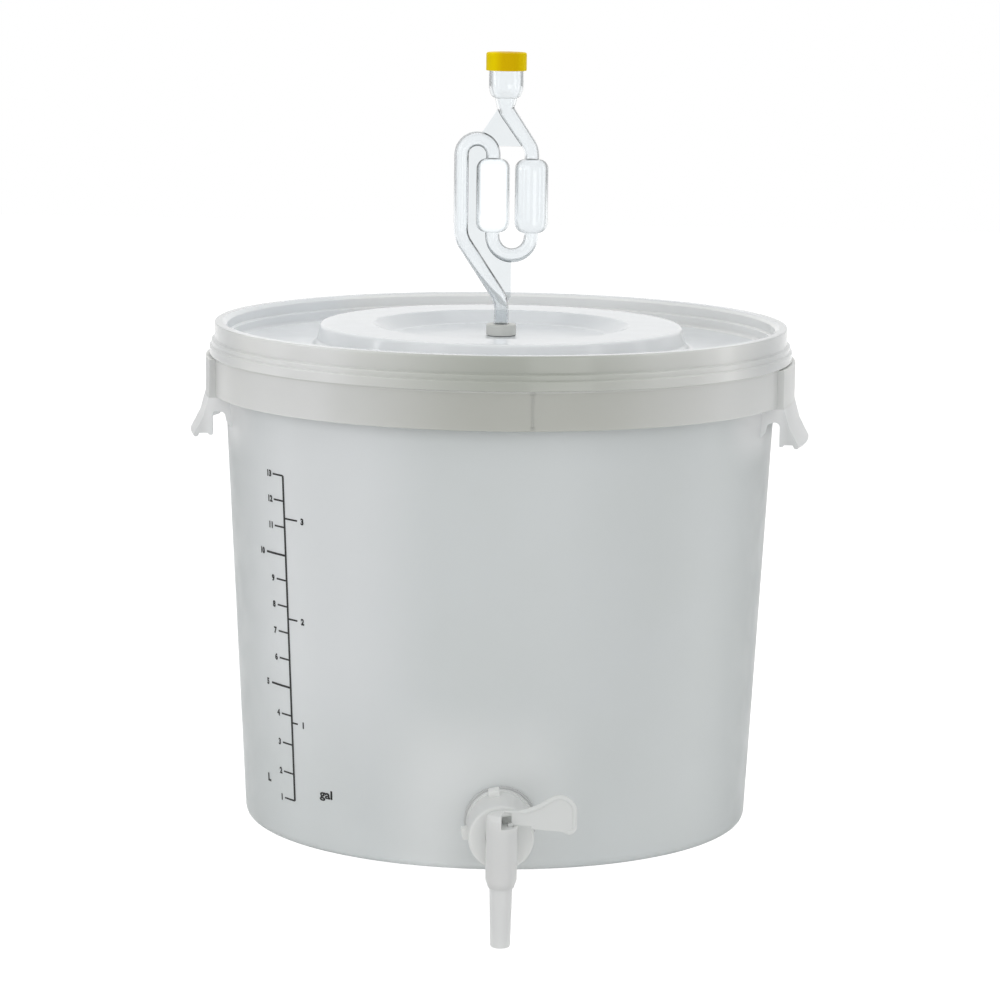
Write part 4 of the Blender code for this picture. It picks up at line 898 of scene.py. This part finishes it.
def airlock_webs():
    half = TUBE_RADIUS / 2
    bubble_side = LEFT_X - BUBBLE_RADIUS / 2
    bend = ((LEG_X + LEFT_X) / 2, UPPER_BEND)
    side_web = [(LEG_X, LEG_BEND), (bubble_side, LOWER_BEND), (bubble_side, BUBBLE_TOP)]
    side_web += arc(bend, UPPER_BEND_RADIUS, 0.0, 180.0, 12)
    middle = (LEFT_X + RIGHT_X) / 2
    lower_web = [
        (half, STEM_BEND - half),
        (middle, STEM_BEND + half),
        (middle, LOWER_BEND - LOWER_BEND_RADIUS),
        (LEFT_X, LOWER_BEND + WEB_OVERLAP),
        (LEG_X, LEG_BEND + WEB_OVERLAP),
    ]
    foot = UPPER_BEND + WEB_FOOT_RISE
    slope = (RIGHT_X - CUP_OFFSET) / (CUP_NECK - BUBBLE_TOP - DROP_TUBE_LENGTH)
    upper_web = [
        (CUP_OFFSET - WEB_TOP_INSET, CUP_NECK + WEB_TOP_RISE),
        (CUP_OFFSET + half, CUP_NECK),
        (CUP_OFFSET + slope * (CUP_NECK - foot), foot),
        (LEFT_X, foot),
        (bend[0], UPPER_BEND + UPPER_BEND_RADIUS),
    ]
    webs = (side_web, lower_web, upper_web)
    return [plate("web", outline, WEB_THICKNESS, WEB_EDGE) for outline in webs]


def build_airlock():
    body = sweep("airlock_tubes", airlock_path(0.0))
    for web in airlock_webs():
        combine(body, web, "UNION")
    combine(body, sweep("bore", airlock_path(1.0)), "DIFFERENCE")
    place_piece(smooth(body, 32.0), CLEAR_PLASTIC, "airlock", "airlock_body")
    body.data.materials.append(TUBE_PLASTIC_PAINTED_SHADE)
    body.data.materials.append(WEB_PLASTIC_PAINTED_SHADE)
    # The one clear plastic in three tints, as painted shade: the left bubble is the clearest, and the flat
    # webs are the darkest
    for face in body.data.polygons:
        x, y, z = face.center
        bubble = BUBBLE_BOTTOM < z < BUBBLE_TOP and abs(x - LEFT_X) < BUBBLE_RADIUS
        web = abs(face.normal.y) > 0.99 and abs(y) < WEB_THICKNESS
        face.material_index = 2 if web else 0 if bubble else 1


def build_cap():
    inside = CUP_RADIUS + GAP
    outside = inside + CAP_WALL
    roof = CUP_RIM + GAP
    top = roof + CAP_WALL
    section = fillet(
        [
            (0.0, top, 0.0),
            (outside, top, 0.0013),
            (outside, top - CAP_HEIGHT, 0.0004),
            (inside, top - CAP_HEIGHT, 0.0003),
            (inside, roof, 0.0004),
            (0.0, roof, 0.0),
        ],
        closed=False,
        steps=6,
    )
    cap = lathe("cap", section, SMALL_SIDES, closed=False)
    vents = []
    for index in range(VENT_COUNT):
        angle = math.tau * index / VENT_COUNT
        vent = rod("vent", VENT_RADIUS, 2 * OVERRUN, 0.0, VENT_SIDES)
        x, y = VENT_CIRCLE_RADIUS * math.cos(angle), VENT_CIRCLE_RADIUS * math.sin(angle)
        vent.data.transform(Matrix.Translation((x, y, roof - OVERRUN)))
        vents.append(vent)
    combine(cap, joined("vents", vents), "DIFFERENCE")
    cap.data.transform(Matrix.Translation((CUP_OFFSET, 0.0, 0.0)))
    place_piece(smooth(cap), YELLOW_PLASTIC, "airlock_cap", "airlock_cap")


# Tap. The collar's lip and groove are in the scene alone, and the paddle's plate is thinner than
# the solid's, with a stouter bead
COLLAR_BACK = 0.0018
COLLAR_FRONT = 0.0326
COLLAR_BACK_RADIUS = 0.0181
COLLAR_FRONT_RADIUS = 0.0174
COLLAR_WALL = 0.0022
COLLAR_FACE = 0.0026
COLLAR_LIP = 0.001
COLLAR_GROOVE = 0.0058
COLLAR_GROOVE_WIDTH = 0.0017
COLLAR_GROOVE_DEPTH = 0.0008
HUB_WALL = 0.0022
LUG_COUNT = 4
LUG_TURN = math.radians(11.0)
LUG_WIDTH = 0.0062
LUG_LENGTH = 0.0072
LUG_HEIGHT = 0.0033
LUG_BACK = 0.0052
LUG_ROOT = 0.0012
LUG_EDGE = 0.0008
BARREL_RADIUS = 0.0083
BARREL_WALL = 0.0018
BARREL_TOP = 0.0162
BARREL_DISTANCE = 0.0412
SLOT_BOTTOM = 0.0096
LEVER_FOOT_INSET = 0.0032
LEVER_FOOT_DEPTH = 0.0036
LEVER_FOOT_WIDTH = 0.003
LEVER_STEM_INSET = 0.005
LEVER_FINGER_INSET = 0.0012
LEVER_FINGER_RADIUS = 0.0007
PADDLE_REACH = 0.0382
PADDLE_RADIUS = 0.008
PADDLE_CENTRE_RISE = 0.0173
PADDLE_DEPTH = 0.0109
PADDLE_CORNER = 0.0032
PADDLE_PLATE = 0.0009
ARM_TOP = 0.0172
ARM_RISE_START = 0.0118
ARM_BEND_REACH = 0.014
ARM_BEND_RISE = 0.018
ARM_SWEEP_REACH = 0.02
ARM_SWEEP_RISE = 0.0203
ARM_STEP_REACH = 0.0159
ARM_STEP_DEPTH = 0.0021
PLATE_EDGE = 0.0003
BEAD_RADIUS = 0.0013
BEAD_TAIL = 0.0026
BEAD_SIDES = 28
FOOT_EDGE = 0.0002


def moulded(node, name, body, material, edge):
    """A tap piece with the small round edges of a moulding."""
    shape = bmesh.new()
    shape.from_mesh(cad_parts[node].data)
    bmesh.ops.remove_doubles(shape, verts=shape.verts, dist=0.000005)
    bmesh.ops.dissolve_limit(shape, angle_limit=math.radians(0.5), verts=shape.verts, edges=shape.edges)
    item = new_object(name, finish_mesh(shape, name))
    bevel = item.modifiers.new("edges", "BEVEL")
    bevel.width = edge
    bevel.segments = 3
    bevel.limit_method = "ANGLE"
    bevel.angle_limit = math.radians(32.0)
    bevel.use_clamp_overlap = True
    settle(item)
    place_piece(smooth(item, 34.0), material, body, node)


def build_collar():
    """Bell-shaped collar with a groove round its back, a hub on the shank and four lugs to hold it by."""
    bore = HOLE_RADIUS - GAP
    face_back = COLLAR_FRONT - COLLAR_FACE
    front = COLLAR_FRONT_RADIUS
    back = COLLAR_BACK_RADIUS
    groove = back - COLLAR_GROOVE_DEPTH
    section = fillet(
        [
            (bore, COLLAR_FRONT - COLLAR_LIP, 0.0),
            (bore - 2 * GAP / 3, COLLAR_FRONT - COLLAR_LIP, 0.0),
            (bore - 2 * GAP / 3, COLLAR_FRONT, 0.0),
            (front, COLLAR_FRONT, 0.0016),
            (back - GAP / 2, COLLAR_GROOVE + COLLAR_GROOVE_WIDTH, 0.0004),
            (groove, COLLAR_GROOVE + COLLAR_GROOVE_WIDTH - GAP, 0.0002),
            (groove, COLLAR_GROOVE + GAP, 0.0002),
            (back + GAP / 2, COLLAR_GROOVE, 0.0004),
            (back + GAP / 2, COLLAR_BACK, 0.0005),
            (back - COLLAR_WALL, COLLAR_BACK, 0.0003),
            (front - COLLAR_WALL, face_back, 0.0006),
            (bore + HUB_WALL, face_back, 0.0006),
            (bore + HUB_WALL, COLLAR_BACK, 0.0003),
            (bore, COLLAR_BACK, 0.0003),
        ]
    )
    collar = lathe("collar_bell", section, SMALL_SIDES)
    size = (LUG_HEIGHT + LUG_ROOT, LUG_WIDTH, LUG_LENGTH)
    reach = (front + back) / 2 + (LUG_HEIGHT - LUG_ROOT) / 2
    centre = (reach, 0.0, COLLAR_BACK + LUG_BACK + LUG_LENGTH / 2)
    for index in range(LUG_COUNT):
        turn = Matrix.Rotation(math.tau * index / LUG_COUNT + LUG_TURN, 4, "Z")
        combine(collar, box("lug", size, centre, turn, LUG_EDGE), "UNION")
    collar.name = "collar"
    collar.data.transform(OUTWARDS)
    place_piece(smooth(collar), TAP_PLASTIC, "bucket", "tap_collar")


def build_lever():
    """Thin paddle with a stout round bead along its upper and outer edges, and a foot in the rotor."""
    place = TAP_SEAT @ Matrix.Translation((0.0, -BARREL_DISTANCE, 0.0))
    bottom = PADDLE_CENTRE_RISE - PADDLE_DEPTH
    arm_bottom = SLOT_BOTTOM + GAP
    finger = BARREL_TOP + GAP + LEVER_FINGER_RADIUS
    sweep_end = arc((PADDLE_REACH - PADDLE_RADIUS, PADDLE_CENTRE_RISE), PADDLE_RADIUS, 122.0, 0.0, 26)
    rise = [
        (LEVER_FINGER_INSET, finger, 0.0),
        (BARREL_RADIUS, finger, 0.0),
        (ARM_RISE_START, ARM_TOP, 0.012),
        (ARM_BEND_REACH, ARM_BEND_RISE, 0.02),
        (ARM_SWEEP_REACH, ARM_SWEEP_RISE, 0.03),
        (*sweep_end[0], 0.0),
    ]
    rim = fillet(rise, closed=False, steps=6)[:-1] + sweep_end
    corner = (PADDLE_REACH - PADDLE_CORNER, bottom + PADDLE_CORNER)
    rim += arc(corner, PADDLE_CORNER, 0.0, -86.0, 10)
    taper = ARM_RISE_START - BARREL_RADIUS
    growth = (BEAD_RADIUS - LEVER_FINGER_RADIUS) / taper
    bead = []
    for x, z in rim:
        share = min(max(x - BARREL_RADIUS, 0.0), taper)
        bead.append((x, z, LEVER_FINGER_RADIUS + growth * share))
    for share in (0.25, 0.5, 0.75, 1.0):
        bead.append((corner[0] - BEAD_TAIL * share, bottom, BEAD_RADIUS * (1.0 - 0.8 * share)))
    outline = [(LEVER_STEM_INSET, ARM_TOP - GAP)] + [point for point in rim if point[0] > ARM_RISE_START]
    outline += [
        (PADDLE_REACH - PADDLE_CORNER, bottom),
        (ARM_STEP_REACH, arm_bottom - ARM_STEP_DEPTH),
        (ARM_STEP_REACH - GAP, arm_bottom),
        (LEVER_STEM_INSET, arm_bottom),
    ]
    lever = plate("paddle", outline, PADDLE_PLATE, PLATE_EDGE)
    combine(lever, sweep("lever_bead", bead, BEAD_SIDES), "UNION")
    inner = LEVER_FOOT_INSET
    outer = BARREL_RADIUS - BARREL_WALL - 2 * GAP
    low = SLOT_BOTTOM - LEVER_FOOT_DEPTH
    high = SLOT_BOTTOM + LEVER_FOOT_WIDTH / 2
    size = (outer - inner, LEVER_FOOT_WIDTH, high - low)
    foot = box("foot", size, ((outer + inner) / 2, 0.0, (low + high) / 2), edge=FOOT_EDGE)
    combine(lever, foot, "UNION")
    lever.name = "lever"
    lever.data.transform(place)
    place_piece(smooth(lever, 34.0), LEVER_PLASTIC_PAINTED_SHADE, "tap_valve", "tap_lever")


# Scale on the wall, in the scene alone, with bearings in degrees round the bucket's axis
LINE_BEARING = -46.6
LINE_HALF_WIDTH = 0.0008
LINE_STEPS = 24
MARK_HALF_WIDTH = 0.00046
MARK_LENGTH = 0.0094
MARK_LABEL_GAP = 0.0035
LONG_MARK_EVERY = 5
LONG_MARK_HALF_WIDTH = 0.00058
LONG_MARK_LENGTH = 0.0186
LONG_MARK_LABEL_GAP = 0.0047
MEAN_WALL_RADIUS = 0.149
LABEL_SIZE = 0.0046
LABEL_DROP = 0.0002
STROKE_STEP = 0.001
PRINT_LIFT = 0.00006
PRINT_THICKNESS = 0.00004
# Heights in millimetres
LITRE_MARKS = (25.3, 40.3, 56.7, 73.1, 88.9, 104.4, 119.4, 134.0, 148.5, 162.4, 178.0, 192.5, 206.5)
# Gallons, height in millimetres, length in degrees and bearing of the number
GALLON_MARKS = ((1, 69.4, 2.0, -42.75), (2, 127.5, 3.1, -41.85), (3, 183.1, 4.2, -40.95))


def wrap(shape, bearing, height):
    """Lay flat print, drawn in the XZ plane with Y as its thickness, on the tapered wall."""
    for vert in shape.verts:
        z = height + vert.co.z
        radius = wall_radius(z)
        angle = math.radians(bearing) + vert.co.x / radius
        reach = radius + PRINT_LIFT + (PRINT_THICKNESS if vert.co.y < 0 else 0.0)
        vert.co = (reach * math.sin(angle), -reach * math.cos(angle), z)


def stroke(target, bearing, height, left, right, low, high):
    """A printed bar, from left to right and low to high around its place on the wall."""
    shape = bmesh.new()
    pieces = max(1, round((right - left) / STROKE_STEP))
    places = [left + (right - left) * i / pieces for i in range(pieces + 1)]
    rows = [[shape.verts.new((x, y, z)) for x in places] for y in (-1.0, 1.0) for z in (low, high)]
    front_low, front_high, back_low, back_high = rows
    for i in range(pieces):
        shape.faces.new((front_low[i], front_low[i + 1], front_high[i + 1], front_high[i]))
        shape.faces.new((back_low[i], back_high[i], back_high[i + 1], back_low[i + 1]))
        shape.faces.new((front_low[i], back_low[i], back_low[i + 1], front_low[i + 1]))
        shape.faces.new((front_high[i], front_high[i + 1], back_high[i + 1], back_high[i]))
    for i in (0, pieces):
        shape.faces.new((front_low[i], front_high[i], back_high[i], back_low[i]))
    wrap(shape, bearing, height)
    piece = bpy.data.meshes.new("stroke")
    shape.to_mesh(piece)
    shape.free()
    target.from_mesh(piece)
    bpy.data.meshes.remove(piece)


def lettering(target, text, bearing, height, size, width=1.04, weight=0.054):
    """Printed numbers or a unit, set on the wall."""
    curve = bpy.data.curves.new("lettering", "FONT")
    curve.body = text
    curve.size = size
    curve.align_x = "CENTER"
    curve.align_y = "CENTER"
    curve.extrude = 0.0005
    curve.offset = size * weight
    curve.resolution_u = 4
    holder = new_object("lettering", curve)
    mesh = evaluated_mesh(holder)
    bpy.data.objects.remove(holder, do_unlink=True)
    mesh.transform(Matrix.Rotation(math.radians(90.0), 4, "X") @ Matrix.Diagonal((width, 1.0, 1.0, 1.0)))
    shape = bmesh.new()
    shape.from_mesh(mesh)
    bmesh.ops.remove_doubles(shape, verts=shape.verts, dist=0.000001)
    wrap(shape, bearing, height)
    shape.to_mesh(mesh)
    shape.free()
    target.from_mesh(mesh)
    bpy.data.meshes.remove(mesh)


def build_scale():
    print_shape = bmesh.new()
    low = LITRE_MARKS[0] / 1000
    high = LITRE_MARKS[-1] / 1000
    for index in range(LINE_STEPS):
        start = low + (high - low) * index / LINE_STEPS
        length = (high - low) / LINE_STEPS
        stroke(print_shape, LINE_BEARING, start, -LINE_HALF_WIDTH, LINE_HALF_WIDTH, 0.0, length)
    for litre, millimetres in enumerate(LITRE_MARKS, 1):
        height = millimetres / 1000
        reach, half, gap = MARK_LENGTH, MARK_HALF_WIDTH, MARK_LABEL_GAP
        if litre % LONG_MARK_EVERY == 0:
            reach, half, gap = LONG_MARK_LENGTH, LONG_MARK_HALF_WIDTH, LONG_MARK_LABEL_GAP
        stroke(print_shape, LINE_BEARING, height, -reach, 0.0, -half, half)
        bearing = LINE_BEARING - math.degrees((reach + gap) / MEAN_WALL_RADIUS)
        lettering(print_shape, str(litre), bearing, height - LABEL_DROP, LABEL_SIZE)
    for gallon, millimetres, degrees, bearing in GALLON_MARKS:
        height = millimetres / 1000
        reach = math.radians(degrees) * MEAN_WALL_RADIUS
        stroke(print_shape, LINE_BEARING, height, 0.0, reach, -MARK_HALF_WIDTH, MARK_HALF_WIDTH)
        lettering(print_shape, str(gallon), bearing, height - LABEL_DROP, LABEL_SIZE)
    lettering(print_shape, "L", -57.0, 0.0334, 0.0056, width=1.2, weight=0.07)
    lettering(print_shape, "gal", -36.3, 0.0332, 0.0066, width=1.32, weight=0.03)
    scale = new_object("scale_print", finish_mesh(print_shape, "scale_print"))
    dress(scale, INK)
    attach(scale, "bucket")


# Stage, light and camera
COUNTER_SIZE = (6.0, 4.0, 0.6)
COUNTER_FRONT = -0.158
COUNTER_DROP = 0.0002
COUNTER_EDGE = 0.003
STAGE_GREY = (0.85, 0.85, 0.85, 1.0)
STAGE_GLOW = 1.28
STAGE_GLOW_SHARE = 0.85
WHITE = (1.0, 1.0, 1.0, 1.0)

# Name, place, what it points at, width and height in metres, and power in watts
LAMPS = (
    ("key", (-1.3, -1.35, 0.9), (0.0, 0.0, 0.15), 0.9, 1.2, 3.2),
    ("left_strip", (-1.87, -0.33, 0.75), (0.0, 0.0, 0.2), 0.12, 1.0, 1.9),
    ("rim", (1.7, 0.3, 0.5), (0.0, 0.0, 0.15), 0.25, 1.2, 1.2),
    ("right_strip", (1.7, -0.83, 0.6), (0.0, 0.0, 0.15), 0.3, 1.0, 1.5),
    ("fill", (0.95, -1.95, -0.02), (0.0, 0.0, 0.1), 0.9, 0.6, 2.3),
    ("overhead", (0.0, 0.5, 1.9), (0.0, 0.0, 0.2), 1.4, 1.0, 3.6),
)

CAMERA_PLACE = (0.12417, -2.14146, 0.52246)
CAMERA_TURNS = (("Z", 3.3), ("X", 80.907), ("Z", 0.761))
CAMERA_LENS = 138.18
CAMERA_SENSOR = 36.0


def build_stage():
    """A pale counter that shows white, but takes the object's shadow; the spout hangs before it."""
    nodes = Nodes(bpy.data.materials.new("stage_white"))
    rays = nodes.add("ShaderNodeLightPath").outputs
    seen = nodes.maths("MAXIMUM", rays["Is Camera Ray"], rays["Is Glossy Ray"])
    seen = nodes.maths("MAXIMUM", seen, rays["Is Transmission Ray"])
    share = nodes.maths("MULTIPLY", seen, STAGE_GLOW_SHARE)
    grey = nodes.add("ShaderNodeBsdfDiffuse", {"Color": STAGE_GREY}).outputs[0]
    white = nodes.add("ShaderNodeEmission", {"Strength": STAGE_GLOW}).outputs[0]
    nodes.add("ShaderNodeOutputMaterial", {"Surface": nodes.mix_shaders(share, grey, white)})
    width, depth, height = COUNTER_SIZE
    centre = (0.0, depth / 2 + COUNTER_FRONT, -height / 2 - COUNTER_DROP)
    counter = box("counter", COUNTER_SIZE, centre, edge=COUNTER_EDGE)
    dress(counter, nodes.owner)


def build_world():
    """White to the camera, with dark sides that give the clear and glossy pieces their outlines."""
    nodes = Nodes(bpy.data.worlds.new("studio"))
    bpy.context.scene.world = nodes.owner
    x, y, _ = nodes.parts(nodes.add("ShaderNodeTexCoord").outputs["Generated"])
    flags = nodes.ramp(nodes.maths("ABSOLUTE", x), 0.5, 0.95, 1.0, 0.22)
    studio = nodes.maths("MULTIPLY", nodes.ramp(y, -1.0, 1.0, 0.76, 0.95), flags)
    mirrored = nodes.ramp(y, 0.0, 0.9, 0.12, 1.0)
    behind = nodes.ramp(y, 0.90, 0.985, 0.42, 1.18)
    beyond = nodes.maths("ADD", behind, nodes.ramp(y, 0.74, 0.62, 0.0, 0.75))

    def glow(level):
        return nodes.add("ShaderNodeBackground", {"Color": level}).outputs[0]

    rays = nodes.add("ShaderNodeLightPath").outputs
    seen = nodes.mix_shaders(rays["Is Glossy Ray"], glow(studio), glow(mirrored))
    seen = nodes.mix_shaders(rays["Is Transmission Ray"], seen, glow(beyond))
    seen = nodes.mix_shaders(rays["Is Camera Ray"], seen, glow(WHITE))
    nodes.add("ShaderNodeOutputWorld", {"Surface": seen})


def build_lights():
    for name, position, target, width, height, power in LAMPS:
        light = bpy.data.lights.new(name, "AREA")
        light.shape = "RECTANGLE"
        light.size = width
        light.size_y = height
        light.energy = power
        lamp = link(bpy.data.objects.new(name, light))
        lamp.location = position
        direction = Vector(target) - Vector(position)
        lamp.rotation_euler = direction.to_track_quat("-Z", "Y").to_euler()


def build_camera():
    data = bpy.data.cameras.new("camera")
    data.sensor_width = CAMERA_SENSOR
    data.lens = CAMERA_LENS
    camera = link(bpy.data.objects.new("camera", data))
    place = Matrix.Translation(CAMERA_PLACE)
    for axis, degrees in CAMERA_TURNS:
        place = place @ Matrix.Rotation(math.radians(degrees), 4, axis)
    camera.matrix_world = place
    bpy.context.scene.camera = camera


bpy.context.scene.view_settings.view_transform = "Standard"
build_camera()
build_world()
build_lights()
build_stage()
build_bucket()
build_seam()
build_lid()
build_grommet()
build_airlock()
build_cap()
build_collar()
moulded("tap_body", "barrel", "bucket", TAP_PLASTIC, 0.0004)
moulded("tap_rotor", "spout", "tap_valve", SPOUT_PLASTIC, 0.0003)
build_lever()
moulded("tap_back_nut", "back_nut", "bucket", TAP_PLASTIC, 0.0004)
moulded("tap_outer_gasket", "outer_gasket", "bucket", SEAL_RUBBER, 0.0002)
moulded("tap_inner_gasket", "inner_gasket", "bucket", SEAL_RUBBER, 0.0002)
build_scale()
